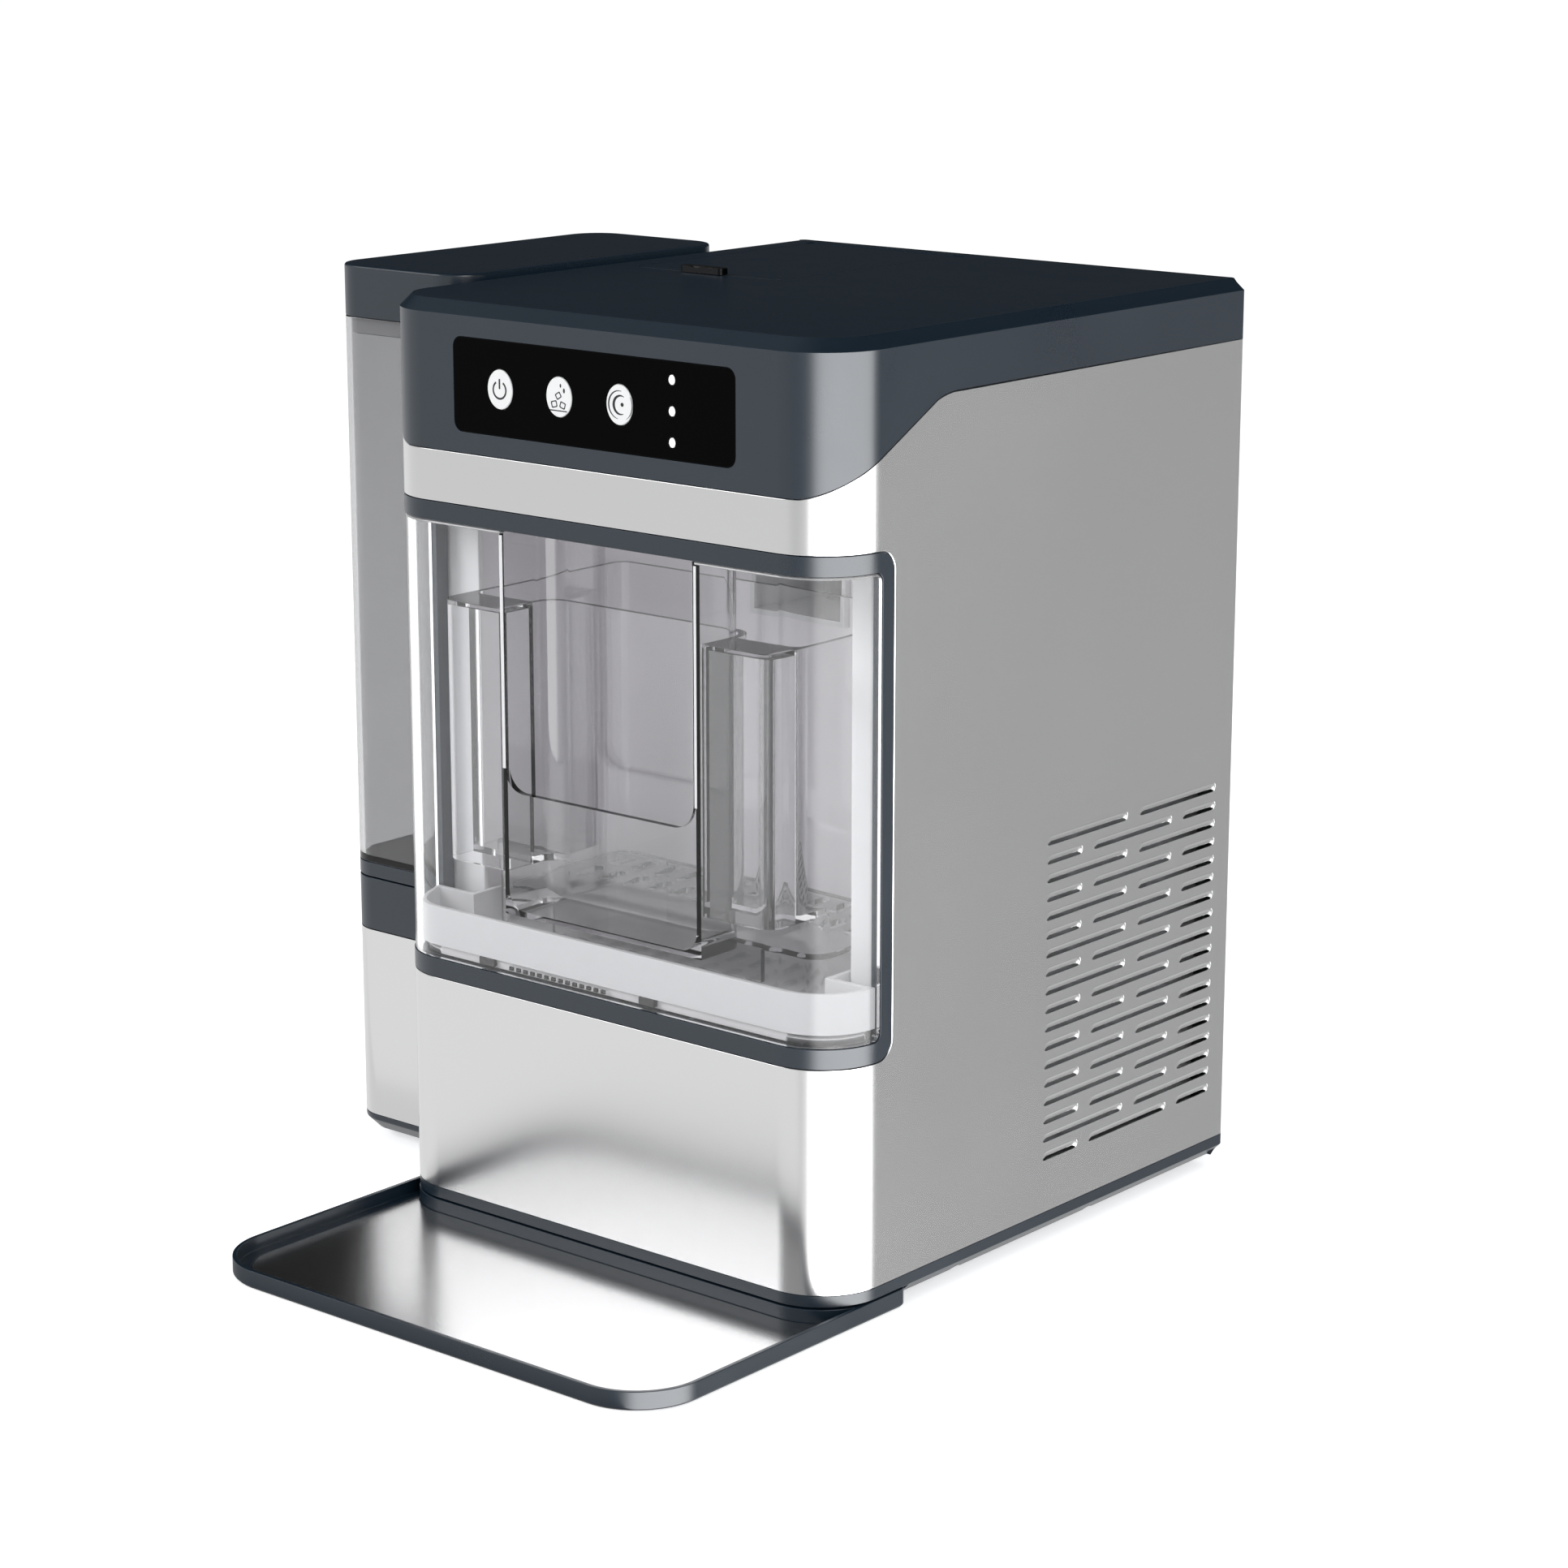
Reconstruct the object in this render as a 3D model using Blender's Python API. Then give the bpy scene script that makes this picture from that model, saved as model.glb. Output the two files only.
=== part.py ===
# Nugget ice maker with a side water tank, a front ice drawer and a drip tray.
# Lengths are in metres. In the working frame x runs from the body's middle plane to the right,
# y from the body's front face to the rear and z up from the ground. One empty carries this frame,
# so that the object's own origin is under the middle of its outline.

import math

import bmesh
import bpy
from mathutils import Matrix, Vector

# General
GAP = 0.0003
OVERRUN = 0.010
WELD = 0.000002
ROUND_STEPS = 7
ROD_SIDES = 24
SMALL_RADIUS = 0.0062
SMALL_SIDES = 12
WALL_DEGREES = 40
BEVEL_DEGREES = 30

# Body
BODY_WIDTH = 0.2600
BODY_DEPTH = 0.2923
BODY_TOP = 0.4179
FRONT_RADIUS = 0.0300
REAR_RADIUS = 0.0030
STEEL_LOW = 0.0146
STEEL_WALL = 0.0012
REAR_FLANGE = 0.0120

# Louvred vents in the steel sides
VENT_TOP = 0.1845
VENT_PITCH = 0.00852
VENT_ROWS = 18
VENT_HEIGHT = 0.0024
VENT_FRONT = 0.1474
VENT_REAR = 0.2778
VENT_LONG = 0.0608
VENT_SHORT = 0.0266

# Top cover and its fascia
COVER_WALL = 0.0030
COVER_CHAMFER = 0.0054
FASCIA_LOW = 0.3535
COVER_SIDE_LOW = 0.3908
SLOPE_END = 0.0667
SLOPE_END_DROP = 0.0025
SLOPE_SETTLE = 0.0820
SLOPE_START = 0.0020

# Control panel
PANEL_LEFT = -0.0803
PANEL_RIGHT = 0.0785
PANEL_LOW = 0.3628
PANEL_HIGH = 0.4034
PANEL_RADIUS = 0.0045
PANEL_THICKNESS = 0.0012
PANEL_SEAT = 0.0035
BUTTON_WIDTH = 0.0144
BUTTON_HEIGHT = 0.0170
BUTTON_LEVEL = 0.3828
BUTTON_FIRST = -0.0529
BUTTON_PITCH = 0.0342
BUTTON_PROUD = 0.0004
BUTTON_FLANGE = 0.0012
BUTTON_FLANGE_WALL = 0.0012
BUTTON_TRAVEL = 0.0010
STEM_RADIUS = 0.0022
LENS_X = 0.0442
LENS_WIDTH = 0.0035
LENS_HEIGHT = 0.0042
LENS_TOP_LEVEL = 0.3957
LENS_PITCH = 0.01295
BOARD_FRONT = 0.0090
BOARD_THICKNESS = 0.0016
BOARD_MARGIN = 0.0030
SWITCH_RADIUS = 0.0030
SWITCH_HEIGHT = 0.0014
POST_RADIUS = 0.0024
POST_INSET = 0.0030

# Top lid, its tab and its hinge
LID_LEFT = -0.1110
LID_RIGHT = -0.0245
LID_FRONT = 0.1495
LID_THICKNESS = 0.0022
LID_RADIUS = 0.0060
LID_CLEARANCE = 0.0005
HINGE_Y = 0.2792
HINGE_DROP = 0.0034
HINGE_PIN_RADIUS = 0.0015
HINGE_BORE_CLEARANCE = 0.0003
KNUCKLE_RADIUS = 0.0028
KNUCKLE_INSET = 0.0080
HINGE_LEFT = -0.1150
HINGE_RIGHT = -0.0187
PIN_SEAT = 0.0040
TAB_LEFT = -0.0800
TAB_RIGHT = -0.0550
TAB_FRONT = 0.1455
TAB_REAR = 0.1515
TAB_THICKNESS = 0.0028
TAB_FOOT = 0.0014
TAB_FOOT_INSET = 0.0040
TAB_RADIUS = 0.0020

# Base pan and feet
BASE_LOW = 0.0040
BASE_CHAMFER = 0.0054
BASE_FLOOR = 0.0024
BASE_WALL = 0.0060
BASE_WELL_MARGIN = 0.0100
FOOT_RADIUS = 0.0090
FOOT_INSET_X = 0.0200
FOOT_INSET_REAR = 0.0240
FOOT_BEHIND_TRAY = 0.0160
EDGE_NOTCH_PLACES = (0.0915, 0.1895)
EDGE_NOTCH_DEPTH = 0.0012
EDGE_NOTCH_RADIUS = 0.0060

# Drip tray
TRAY_REACH = 0.1165
TRAY_TONGUE = 0.0527
TRAY_HEIGHT = 0.0084
TRAY_RADIUS = 0.0315
TRAY_REAR_RADIUS = 0.0060
TRAY_WALL = 0.0020
TRAY_CHAMFER = 0.0011
TRAY_LEDGE = 0.0060
TRAY_LEDGE_LEVEL = 0.0024
TRAY_FLOOR = 0.0012
TRAY_CLEARANCE = 0.0005
TRAY_REAR_WALL = 0.0004

# Window bezel, frame and cabinet liner
WINDOW_LOW = 0.1140
WINDOW_HIGH = 0.3305
WINDOW_REAR = 0.0396
WINDOW_RADIUS = 0.0090
BEZEL_TOP_BAND = 0.0085
BEZEL_LOW_BAND = 0.0089
BEZEL_SIDE_BAND = 0.0077
BEZEL_THICKNESS = 0.0060
BEZEL_INNER_RADIUS = 0.0040
FRAME_THICKNESS = 0.0030
FRAME_HALF_OPENING = 0.1065
FRAME_SILL = 0.1265
FRAME_HEAD = 0.3180
FRAME_SIDE_CLEARANCE = 0.0008
FRAME_RADIUS = 0.0040
LINER_HALF_WIDTH = 0.1120
LINER_REAR = 0.1300
LINER_FLOOR = 0.1240
LINER_CEILING = 0.3160
LINER_WALL = 0.0020
LINER_RADIUS = 0.0080

# Ice drawer
DRAWER_INSET = 0.0004
DRAWER_WALL = 0.0030
NOTCH_HALF_WIDTH = 0.0545
NOTCH_LOW = 0.2070
NOTCH_RADIUS = 0.0110
POCKET_FLOOR = 0.1535
POCKET_BACK = 0.0340
POCKET_RADIUS = 0.0120
POCKET_WALL = 0.0025
POCKET_LOW_RADIUS = 0.0090
APRON_LOW = 0.1280
APRON_HIGH = 0.1460
APRON_WALL = 0.0025
APRON_FLOOR = 0.0030
TAIL_HALF_WIDTH = 0.1045
TAIL_REAR = 0.1265
BIN_HALF_WIDTH = 0.0945
BIN_RIM = 0.2870
BIN_REAR = 0.1220
BIN_WALL = 0.0025
BIN_RADIUS = 0.0080
BIN_EAR_DEPTH = 0.0230
BIN_EAR_LOW = 0.1700
BIN_SEAT_CLEARANCE = 0.0006
GRATE_LEVEL = 0.1515
GRATE_THICKNESS = 0.0025
GRATE_MARGIN = 0.0010
GRATE_SLOTS = 12
GRATE_SLOT_WIDTH = 0.0060
GRATE_SLOT_LENGTH = 0.0160
GRATE_SLOT_REAR = 0.0070
GRATE_RIB = 0.0025
GRATE_RIB_INSET = 0.0300
RAIL_WIDTH = 0.0120
RAIL_INSET = 0.0060
RAIL_FRONT_MARGIN = 0.0020

# Side tank and its stand
TANK_GAP = 0.0022
TANK_WIDTH = 0.0843
TANK_FRONT = 0.0572
TANK_DEPTH = 0.1801
TANK_RADIUS = 0.0175
TANK_WALL = 0.0025
TANK_FLOOR = 0.1385
TANK_HIGH = 0.3964
TANK_FLOOR_WALL = 0.0025
CAP_HIGH = 0.4200
CAP_WALL = 0.0030
CAP_BEVEL = 0.0012
CAP_LIP_DEPTH = 0.0080
CAP_LIP_WALL = 0.0020
CAP_LIP_CLEARANCE = 0.0005
COLLAR_LOW = 0.1310
DOCK_LOW = 0.1050
DOCK_FLOOR = 0.0040
DOCK_WALL = 0.0030
DOCK_SPIGOT_RADIUS = 0.0160
DOCK_SPIGOT_HIGH = 0.1262
DOCK_BORE_RADIUS = 0.0125
DOCK_POST_RADIUS = 0.0025
DOCK_POST_HIGH = 0.1180
COLLAR_WALL = 0.0030
COLLAR_FLOOR = 0.0025
NECK_RADIUS = 0.0105
NECK_BORE = 0.0060
NECK_LOW = 0.1240
VALVE_RADIUS = 0.0052
VALVE_STEM = 0.0020
VALVE_HEAD = 0.0030
NECK_SEAT = 0.0030
NECK_SEAT_BORE = 0.0032
PEDESTAL_LOW = 0.0129
PEDESTAL_WALL = 0.0020
PEDESTAL_FOOT_CHAMFER = 0.0060
PEDESTAL_FOOT_FLOOR = 0.0030
PAD_RADIUS = 0.0080
PAD_INSET = 0.0300
BRACKET_FRONT = 0.1100
BRACKET_REAR = 0.1500
BRACKET_LOW = 0.0300
BRACKET_HIGH = 0.0700
BRACKET_WALL = 0.0030
BRACKET_REACH = 0.0050

# Rear panel, inlet, drain and screws
REAR_PANEL_WALL = 0.0015
REAR_VENT_ROWS = 6
REAR_VENT_COLUMNS = 4
REAR_VENT_LOW = 0.2300
REAR_VENT_PITCH = 0.0140
REAR_VENT_WIDTH = 0.0420
REAR_VENT_HEIGHT = 0.0040
REAR_VENT_STEP = 0.0520
INLET_X = 0.0820
INLET_Z = 0.0520
INLET_WIDTH = 0.0270
INLET_HEIGHT = 0.0195
INLET_DEPTH = 0.0200
INLET_FLANGE_MARGIN = 0.0060
INLET_FLANGE = 0.0011
INLET_WALL = 0.0015
INLET_PIN_WIDTH = 0.0020
INLET_PIN_HEIGHT = 0.0048
INLET_PIN_REACH = 0.0140
INLET_PIN_SPREAD = 0.0070
INLET_RADIUS = 0.0020
DRAIN_X = -0.0850
DRAIN_Z = 0.0400
DRAIN_RADIUS = 0.0070
DRAIN_CAP_RADIUS = 0.0105
DRAIN_CAP_WALL = 0.0011
DRAIN_CAP_DEPTH = 0.0120
SCREW_HEAD_RADIUS = 0.0034
SCREW_HEAD = 0.0010
SCREW_RADIUS = 0.0016
SCREW_LENGTH = 0.0080
SCREW_INSET_X = 0.0240
SCREW_LOW = 0.0300
SCREW_HIGH = 0.3700

# Ice making gear behind the liner
BARREL_X = 0.0080
BARREL_Y = 0.1900
BARREL_RADIUS = 0.0300
BARREL_BORE = 0.0240
BARREL_LOW = 0.1500
BARREL_HIGH = 0.3200
BARREL_FLANGE = 0.0040
BARREL_FLANGE_RADIUS = 0.0340
AUGER_CORE = 0.0100
AUGER_FLIGHT_RADIUS = 0.0170
AUGER_FLIGHT_WIRE = 0.0035
AUGER_TURNS = 4
AUGER_STEPS = 12
AUGER_END_CLEARANCE = 0.0020
AUGER_SHAFT = 0.0060
GEARBOX_HALF = 0.0300
GEARBOX_HEIGHT = 0.0450
GEARBOX_RADIUS = 0.0060
GEARBOX_BORE = 0.0064
GEARBOX_BORE_DEPTH = 0.0120
MOTOR_RADIUS = 0.0220
MOTOR_LENGTH = 0.0600
STAND_PLATE = 0.0030
STAND_WALL = 0.0030
CHUTE_HALF_WIDTH = 0.0250
CHUTE_HEIGHT = 0.0300
CHUTE_LOW = 0.2740
CHUTE_WALL = 0.0025
CHUTE_LIP = 0.0040
COMPRESSOR_X = -0.0720
COMPRESSOR_Y = 0.2260
COMPRESSOR_RADIUS = 0.0430
COMPRESSOR_HIGH = 0.1400
COMPRESSOR_DOME = 0.0180
COMPRESSOR_FLANGE = 0.0040
COMPRESSOR_FLANGE_RADIUS = 0.0480
CONDENSER_FRONT = 0.1500
CONDENSER_REAR = 0.2740
CONDENSER_MARGIN = 0.0070
CONDENSER_DEPTH = 0.0200
CONDENSER_HIGH = 0.1900
CONDENSER_SPINE = 0.0060
CONDENSER_FIN = 0.0010
CONDENSER_FINS = 25
SHROUD_WALL = 0.0030
SHROUD_HOLE = 0.0480
SHROUD_HUB = 0.0100
SHROUD_ARM = 0.0060
SHROUD_STUB = 0.0025
SHROUD_STUB_LENGTH = 0.0120
FAN_RADIUS = 0.0450
FAN_HUB = 0.0150
FAN_DEPTH = 0.0140
FAN_BLADES = 7
FAN_BLADE_WALL = 0.0016
FAN_BLADE_WIDTH = 0.0150
FAN_PITCH_DEGREES = 32
FAN_BORE = 0.0029
RESERVOIR_LEFT = -0.1205
RESERVOIR_RIGHT = -0.0275
RESERVOIR_FRONT = 0.1420
RESERVOIR_REAR = 0.2740
RESERVOIR_LOW = 0.2600
RESERVOIR_WALL = 0.0025
RESERVOIR_RADIUS = 0.0100
PUMP_RADIUS = 0.0140
PUMP_LENGTH = 0.0300
PUMP_X = -0.0600
PUMP_Y = 0.1700
PIPE_RADIUS = 0.0040
PIPE_BEND_STEPS = 5
PIPE_RISER_X = -0.1120
PIPE_RISER_Y = 0.1600
PIPE_LOW = 0.0850
PIPE_HOLE_CLEARANCE = 0.0010

# Sizes worked out from those above
HALF_WIDTH = BODY_WIDTH / 2
TOTAL_WIDTH = BODY_WIDTH + TANK_GAP + TANK_WIDTH
TOTAL_DEPTH = BODY_DEPTH + TRAY_REACH
FRAME_X = TOTAL_WIDTH / 2 - HALF_WIDTH
FRAME_Y = TRAY_REACH - TOTAL_DEPTH / 2
BASE_HIGH = STEEL_LOW - GAP
FEET_HIGH = BASE_LOW - GAP
TANK_RIGHT = -HALF_WIDTH - TANK_GAP
TANK_LEFT = TANK_RIGHT - TANK_WIDTH
TANK_REAR = TANK_FRONT + TANK_DEPTH
TANK_X = (TANK_LEFT + TANK_RIGHT) / 2
TANK_Y = (TANK_FRONT + TANK_REAR) / 2
TRAY_NOTCH_HIGH = TRAY_HEIGHT + TRAY_CLEARANCE
COVER_UNDERSIDE = BODY_TOP - COVER_WALL
REAR_PANEL_FACE = BODY_DEPTH - STEEL_WALL - GAP
REAR_PANEL_INNER = REAR_PANEL_FACE - REAR_PANEL_WALL
FRAME_FRONT = WINDOW_REAR + STEEL_WALL
LINER_FRONT = FRAME_FRONT + FRAME_THICKNESS + GAP
SHELL_SKIN = DRAWER_INSET + DRAWER_WALL
SHELL_REAR = WINDOW_REAR - BEZEL_SIDE_BAND - GAP
SHELL_LOW = WINDOW_LOW + BEZEL_LOW_BAND + GAP
SHELL_HIGH = WINDOW_HIGH - BEZEL_TOP_BAND - GAP
PAN_FLOOR = BASE_LOW + BASE_FLOOR
CONDENSER_RIGHT = HALF_WIDTH - CONDENSER_MARGIN
CONDENSER_LEFT = CONDENSER_RIGHT - CONDENSER_DEPTH
HINGE_Z = BODY_TOP - HINGE_DROP
BUTTONS = ("power", "ice", "clean")
LENSES = ("power", "water", "full")


def new_collection(name, parent):
    group = bpy.data.collections.new(name)
    parent.children.link(group)
    return group


for old in list(bpy.data.objects):
    bpy.data.objects.remove(old, do_unlink=True)
PARTS = new_collection("nugget_ice_maker", bpy.context.scene.collection)
CUTTERS = new_collection("cutters", bpy.context.scene.collection)


def new_empty(name, place, parent=None):
    """An empty that carries the pieces of one moving body, at its joint axis."""
    empty = bpy.data.objects.new(name, None)
    empty.empty_display_size = OVERRUN
    empty.parent = parent
    empty.location = place
    PARTS.objects.link(empty)
    return empty


ROOT = new_empty("working_frame", (FRAME_X, FRAME_Y, 0))


def coat(name, colour, roughness, metallic=0, alpha=1):
    """A plain material for one piece."""
    material = bpy.data.materials.new(name)
    material.use_nodes = True
    shader = material.node_tree.nodes["Principled BSDF"]
    shader.inputs["Base Color"].default_value = (*colour, 1)
    shader.inputs["Roughness"].default_value = roughness
    shader.inputs["Metallic"].default_value = metallic
    shader.inputs["Alpha"].default_value = alpha
    return material


FINISHES = {
    "steel": ((0.60, 0.60, 0.60), 0.30, 1, 1),
    "dark": ((0.055, 0.065, 0.080), 0.45, 0, 1),
    "black": ((0.004, 0.004, 0.004), 0.12, 0, 1),
    "white": ((0.62, 0.62, 0.62), 0.40, 0, 1),
    "liner": ((0.42, 0.41, 0.43), 0.45, 0, 1),
    "clear": ((0.85, 0.85, 0.87), 0.08, 0, 0.3),
    "chrome": ((0.80, 0.80, 0.80), 0.10, 1, 1),
    "rubber": ((0.020, 0.020, 0.020), 0.80, 0, 1),
    "board": ((0.02, 0.15, 0.07), 0.60, 0, 1),
    "aluminium": ((0.70, 0.70, 0.72), 0.35, 1, 1),
    "enamel": ((0.015, 0.015, 0.018), 0.30, 0, 1),
}


def solid(name, mesh, finish="", carrier=None, smooth=0):
    """A named piece, or a cutter where no finish is given. Its mesh is drawn in the working frame."""
    piece = bpy.data.objects.new(name, mesh)
    if not finish:
        piece.parent = ROOT
        piece.hide_render = True
        piece.display_type = "WIRE"
        CUTTERS.objects.link(piece)
        return piece
    piece.parent = carrier or ROOT
    if carrier:
        mesh.transform(Matrix.Translation(-carrier.location))
    mesh.materials.clear()
    mesh.materials.append(coat(name, *FINISHES[finish]))
    if smooth:
        mesh.shade_smooth()
        mesh.set_sharp_from_angle(angle=math.radians(smooth))
    PARTS.objects.link(piece)
    return piece


def combine(piece, other, operation):
    """Adds a Boolean modifier. The other shape is drawn in the same working frame."""
    step = piece.modifiers.new(operation.lower(), "BOOLEAN")
    step.operation = operation
    step.object = other
    return piece


def cut(piece, *others):
    for other in others:
        combine(piece, other, "DIFFERENCE")
    return piece


def join(piece, *others):
    for other in others:
        combine(piece, other, "UNION")
    return piece


def mesh_of(maker):
    """A mesh made by one call on an empty bmesh."""
    work = bmesh.new()
    maker(work)
    bmesh.ops.recalc_face_normals(work, faces=work.faces)
    mesh = bpy.data.meshes.new("shape")
    work.to_mesh(mesh)
    work.free()
    return mesh


def block_mesh(low, high):
    """A box between two corners."""
    low, high = Vector(low), Vector(high)
    mesh = mesh_of(lambda work: bmesh.ops.create_cube(work, size=1))
    mesh.transform(Matrix.Translation((low + high) / 2) @ Matrix.Diagonal((*(high - low), 1)))
    return mesh


TURNS = {
    "X": Matrix(((0, 0, 1, 0), (1, 0, 0, 0), (0, 1, 0, 0), (0, 0, 0, 1))),
    "Y": Matrix(((1, 0, 0, 0), (0, 0, 1, 0), (0, 1, 0, 0), (0, 0, 0, 1))),
    "Z": Matrix.Identity(4),
}


def sides_for(radius):
    return SMALL_SIDES if radius < SMALL_RADIUS else ROD_SIDES


def rod_mesh(axis, place, radius, low, high, end_radius=None):
    """A cylinder or cone along an axis. The place is its two other coordinates, in x, y, z order."""
    end_radius = radius if end_radius is None else end_radius
    sides = sides_for(radius)
    mesh = mesh_of(
        lambda work: bmesh.ops.create_cone(
            work, cap_ends=True, segments=sides, radius1=radius, radius2=end_radius, depth=high - low
        )
    )
    mesh.transform(Matrix.Translation((*place, (low + high) / 2)))
    mesh.transform(TURNS[axis])
    if axis == "Y":
        mesh.flip_normals()
    return mesh


def curve_to_mesh(curve):
    """A curve's surface as a welded mesh."""
    guide = bpy.data.objects.new("guide", curve)
    bpy.context.scene.collection.objects.link(guide)
    depsgraph = bpy.context.evaluated_depsgraph_get()
    mesh = bpy.data.meshes.new_from_object(guide.evaluated_get(depsgraph))
    bpy.data.objects.remove(guide)
    work = bmesh.new()
    work.from_mesh(mesh)
    bmesh.ops.remove_doubles(work, verts=work.verts, dist=WELD)
    bmesh.ops.recalc_face_normals(work, faces=work.faces)
    work.to_mesh(mesh)
    work.free()
    return mesh


def slab_mesh(axis, outlines, low, high):
    """Flat outlines given thickness along an axis. Outlines inside the first one are holes."""
    curve = bpy.data.curves.new("outline", "CURVE")
    curve.dimensions = "2D"
    curve.fill_mode = "BOTH"
    curve.extrude = (high - low) / 2
    for outline in outlines:
        spline = curve.splines.new("POLY")
        spline.points.add(len(outline) - 1)
        for point, (across, along) in zip(spline.points, outline):
            point.co = (across, along, 0, 1)
        spline.use_cyclic_u = True
    mesh = curve_to_mesh(curve)
    work = bmesh.new()
    work.from_mesh(mesh)
    bmesh.ops.dissolve_limit(
        work, angle_limit=math.radians(1), verts=work.verts, edges=work.edges, delimit={"NORMAL"}
    )
    work.to_mesh(mesh)
    work.free()
    mesh.transform(Matrix.Translation((0, 0, (low + high) / 2)))
    mesh.transform(TURNS[axis])
    if axis == "Y":
        mesh.flip_normals()
    return mesh


def block(name, low, high, finish="", carrier=None):
    return solid(name, block_mesh(low, high), finish, carrier)


def rod(name, axis, place, radius, low, high, finish="", carrier=None, end_radius=None):
    return solid(name, rod_mesh(axis, place, radius, low, high, end_radius), finish, carrier, WALL_DEGREES)


def slab(name, axis, outlines, low, high, finish="", carrier=None):
    return solid(name, slab_mesh(axis, outlines, low, high), finish, carrier, WALL_DEGREES)


def arc(centre, radius, start, end, steps=ROUND_STEPS):
    """Points along an arc, in degrees, from start to end."""
    points = []
    for step in range(steps + 1):
        angle = math.radians(start + (end - start) * step / steps)
        points.append((centre[0] + radius * math.cos(angle), centre[1] + radius * math.sin(angle)))
    return points


def rounded(left, low, right, high, radii, steps=ROUND_STEPS):
    """A rectangle with round corners: radii from low left, counter-clockwise, or one for all."""
    if not isinstance(radii, (tuple, list)):
        radii = (radii,) * 4
    corners = (
        ((left, low), (1, 1), 180),
        ((right, low), (-1, 1), 270),
        ((right, high), (-1, -1), 0),
        ((left, high), (1, -1), 90),
    )
    points = []
    for (corner, (side_x, side_y), start), radius in zip(corners, radii):
        if radius <= 0:
            points.append(corner)
            continue
        centre = (corner[0] + side_x * radius, corner[1] + side_y * radius)
        points += arc(centre, radius, start, start + 90, steps)
    return points


def oval(x, z, width, height):
    points = []
    sides = sides_for(height / 2)
    for step in range(sides):
        angle = 2 * math.pi * step / sides
        points.append((x + width / 2 * math.cos(angle), z + height / 2 * math.sin(angle)))
    return points


def footprint(inset, rear=BODY_DEPTH, rear_radius=REAR_RADIUS):
    """The body's outline seen from above, drawn in by an inset and ending at a rear line."""
    side = HALF_WIDTH - inset
    front_radius = max(FRONT_RADIUS - inset, 0)
    rear_radius = max(rear_radius - inset, 0)
    return rounded(-side, inset, side, rear - inset, (front_radius, front_radius, rear_radius, rear_radius))


def front_line(inset, rear):
    """The body's front seen from above, from one side's rear end round both corners to the other's."""
    side = HALF_WIDTH - inset
    radius = FRONT_RADIUS - inset
    missing = math.degrees(math.asin(max(0, FRONT_RADIUS - rear) / radius))
    points = arc((radius - side, FRONT_RADIUS), radius, 180 + missing, 270)
    points += arc((side - radius, FRONT_RADIUS), radius, 270, 360 - missing)
    if missing > 0:
        return points
    return [(-side, rear)] + points + [(side, rear)]


def front_band(outer, inner, rear):
    """A strip that follows the body's front and both round corners, open to the rear."""
    return front_line(outer, rear) + front_line(inner, rear)[::-1]


def chamfer(mesh, level, width, segments=1):
    """Bevels the edges of a mesh that lie at one level."""
    work = bmesh.new()
    work.from_mesh(mesh)
    rim = [
        edge
        for edge in work.edges
        if all(abs(vertex.co.z - level) < WELD for vertex in edge.verts)
        and len(edge.link_faces) == 2
        and edge.calc_face_angle(0) > math.radians(BEVEL_DEGREES)
    ]
    bmesh.ops.bevel(
        work, geom=rim, offset=width, offset_type="OFFSET", segments=segments, profile=0.5,
        affect="EDGES", clamp_overlap=False,
    )
    work.to_mesh(mesh)
    work.free()
    return mesh


def inset_outline(left, low, right, high, radius, inset, steps=ROUND_STEPS):
    return rounded(
        left + inset, low + inset, right - inset, high - inset, max(radius - inset, 0), steps
    )


def fascia_profile(drop, reach):
    """The side view below the fascia's lower edge: level, a straight slope, then level again."""
    start = (SLOPE_START, FASCIA_LOW - drop)
    end = (SLOPE_END, COVER_SIDE_LOW - SLOPE_END_DROP - drop)
    settle = (SLOPE_SETTLE, COVER_SIDE_LOW - drop)
    bend = (SLOPE_END + (SLOPE_SETTLE - SLOPE_END) / 3, COVER_SIDE_LOW - SLOPE_END_DROP / 4 - drop)
    return [(-OVERRUN, FASCIA_LOW - drop), start, end, bend, settle, (BODY_DEPTH + OVERRUN, settle[1])] + [
        (BODY_DEPTH + OVERRUN, reach),
        (-OVERRUN, reach),
    ]


def vent_slots():
    """The places of the louvre slots in one side, as (front, rear, level)."""
    gap = (VENT_REAR - VENT_FRONT - 2 * VENT_LONG) / 2
    slots = []
    for row in range(VENT_ROWS):
        level = VENT_TOP - row * VENT_PITCH
        if row % 2 == 0:
            front = VENT_FRONT
            slots.append((front, front + VENT_LONG, level))
            slots.append((VENT_REAR - VENT_LONG, VENT_REAR, level))
        else:
            slots.append((VENT_FRONT, VENT_FRONT + VENT_SHORT, level))
            middle = VENT_FRONT + VENT_SHORT + gap
            slots.append((middle, middle + VENT_LONG, level))
            slots.append((VENT_REAR - VENT_SHORT, VENT_REAR, level))
    return slots


def vent_cutter(name, low, high):
    """All slots of one side as one shape: each is a separate body of the cutter."""
    curve_outlines = []
    for front, rear, level in vent_slots():
        half = VENT_HEIGHT / 2
        curve_outlines.append(
            arc((rear - half, level), half, -90, 90, 2) + arc((front + half, level), half, 90, 270, 2)
        )
    return slab(name, "X", curve_outlines, low, high)


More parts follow.
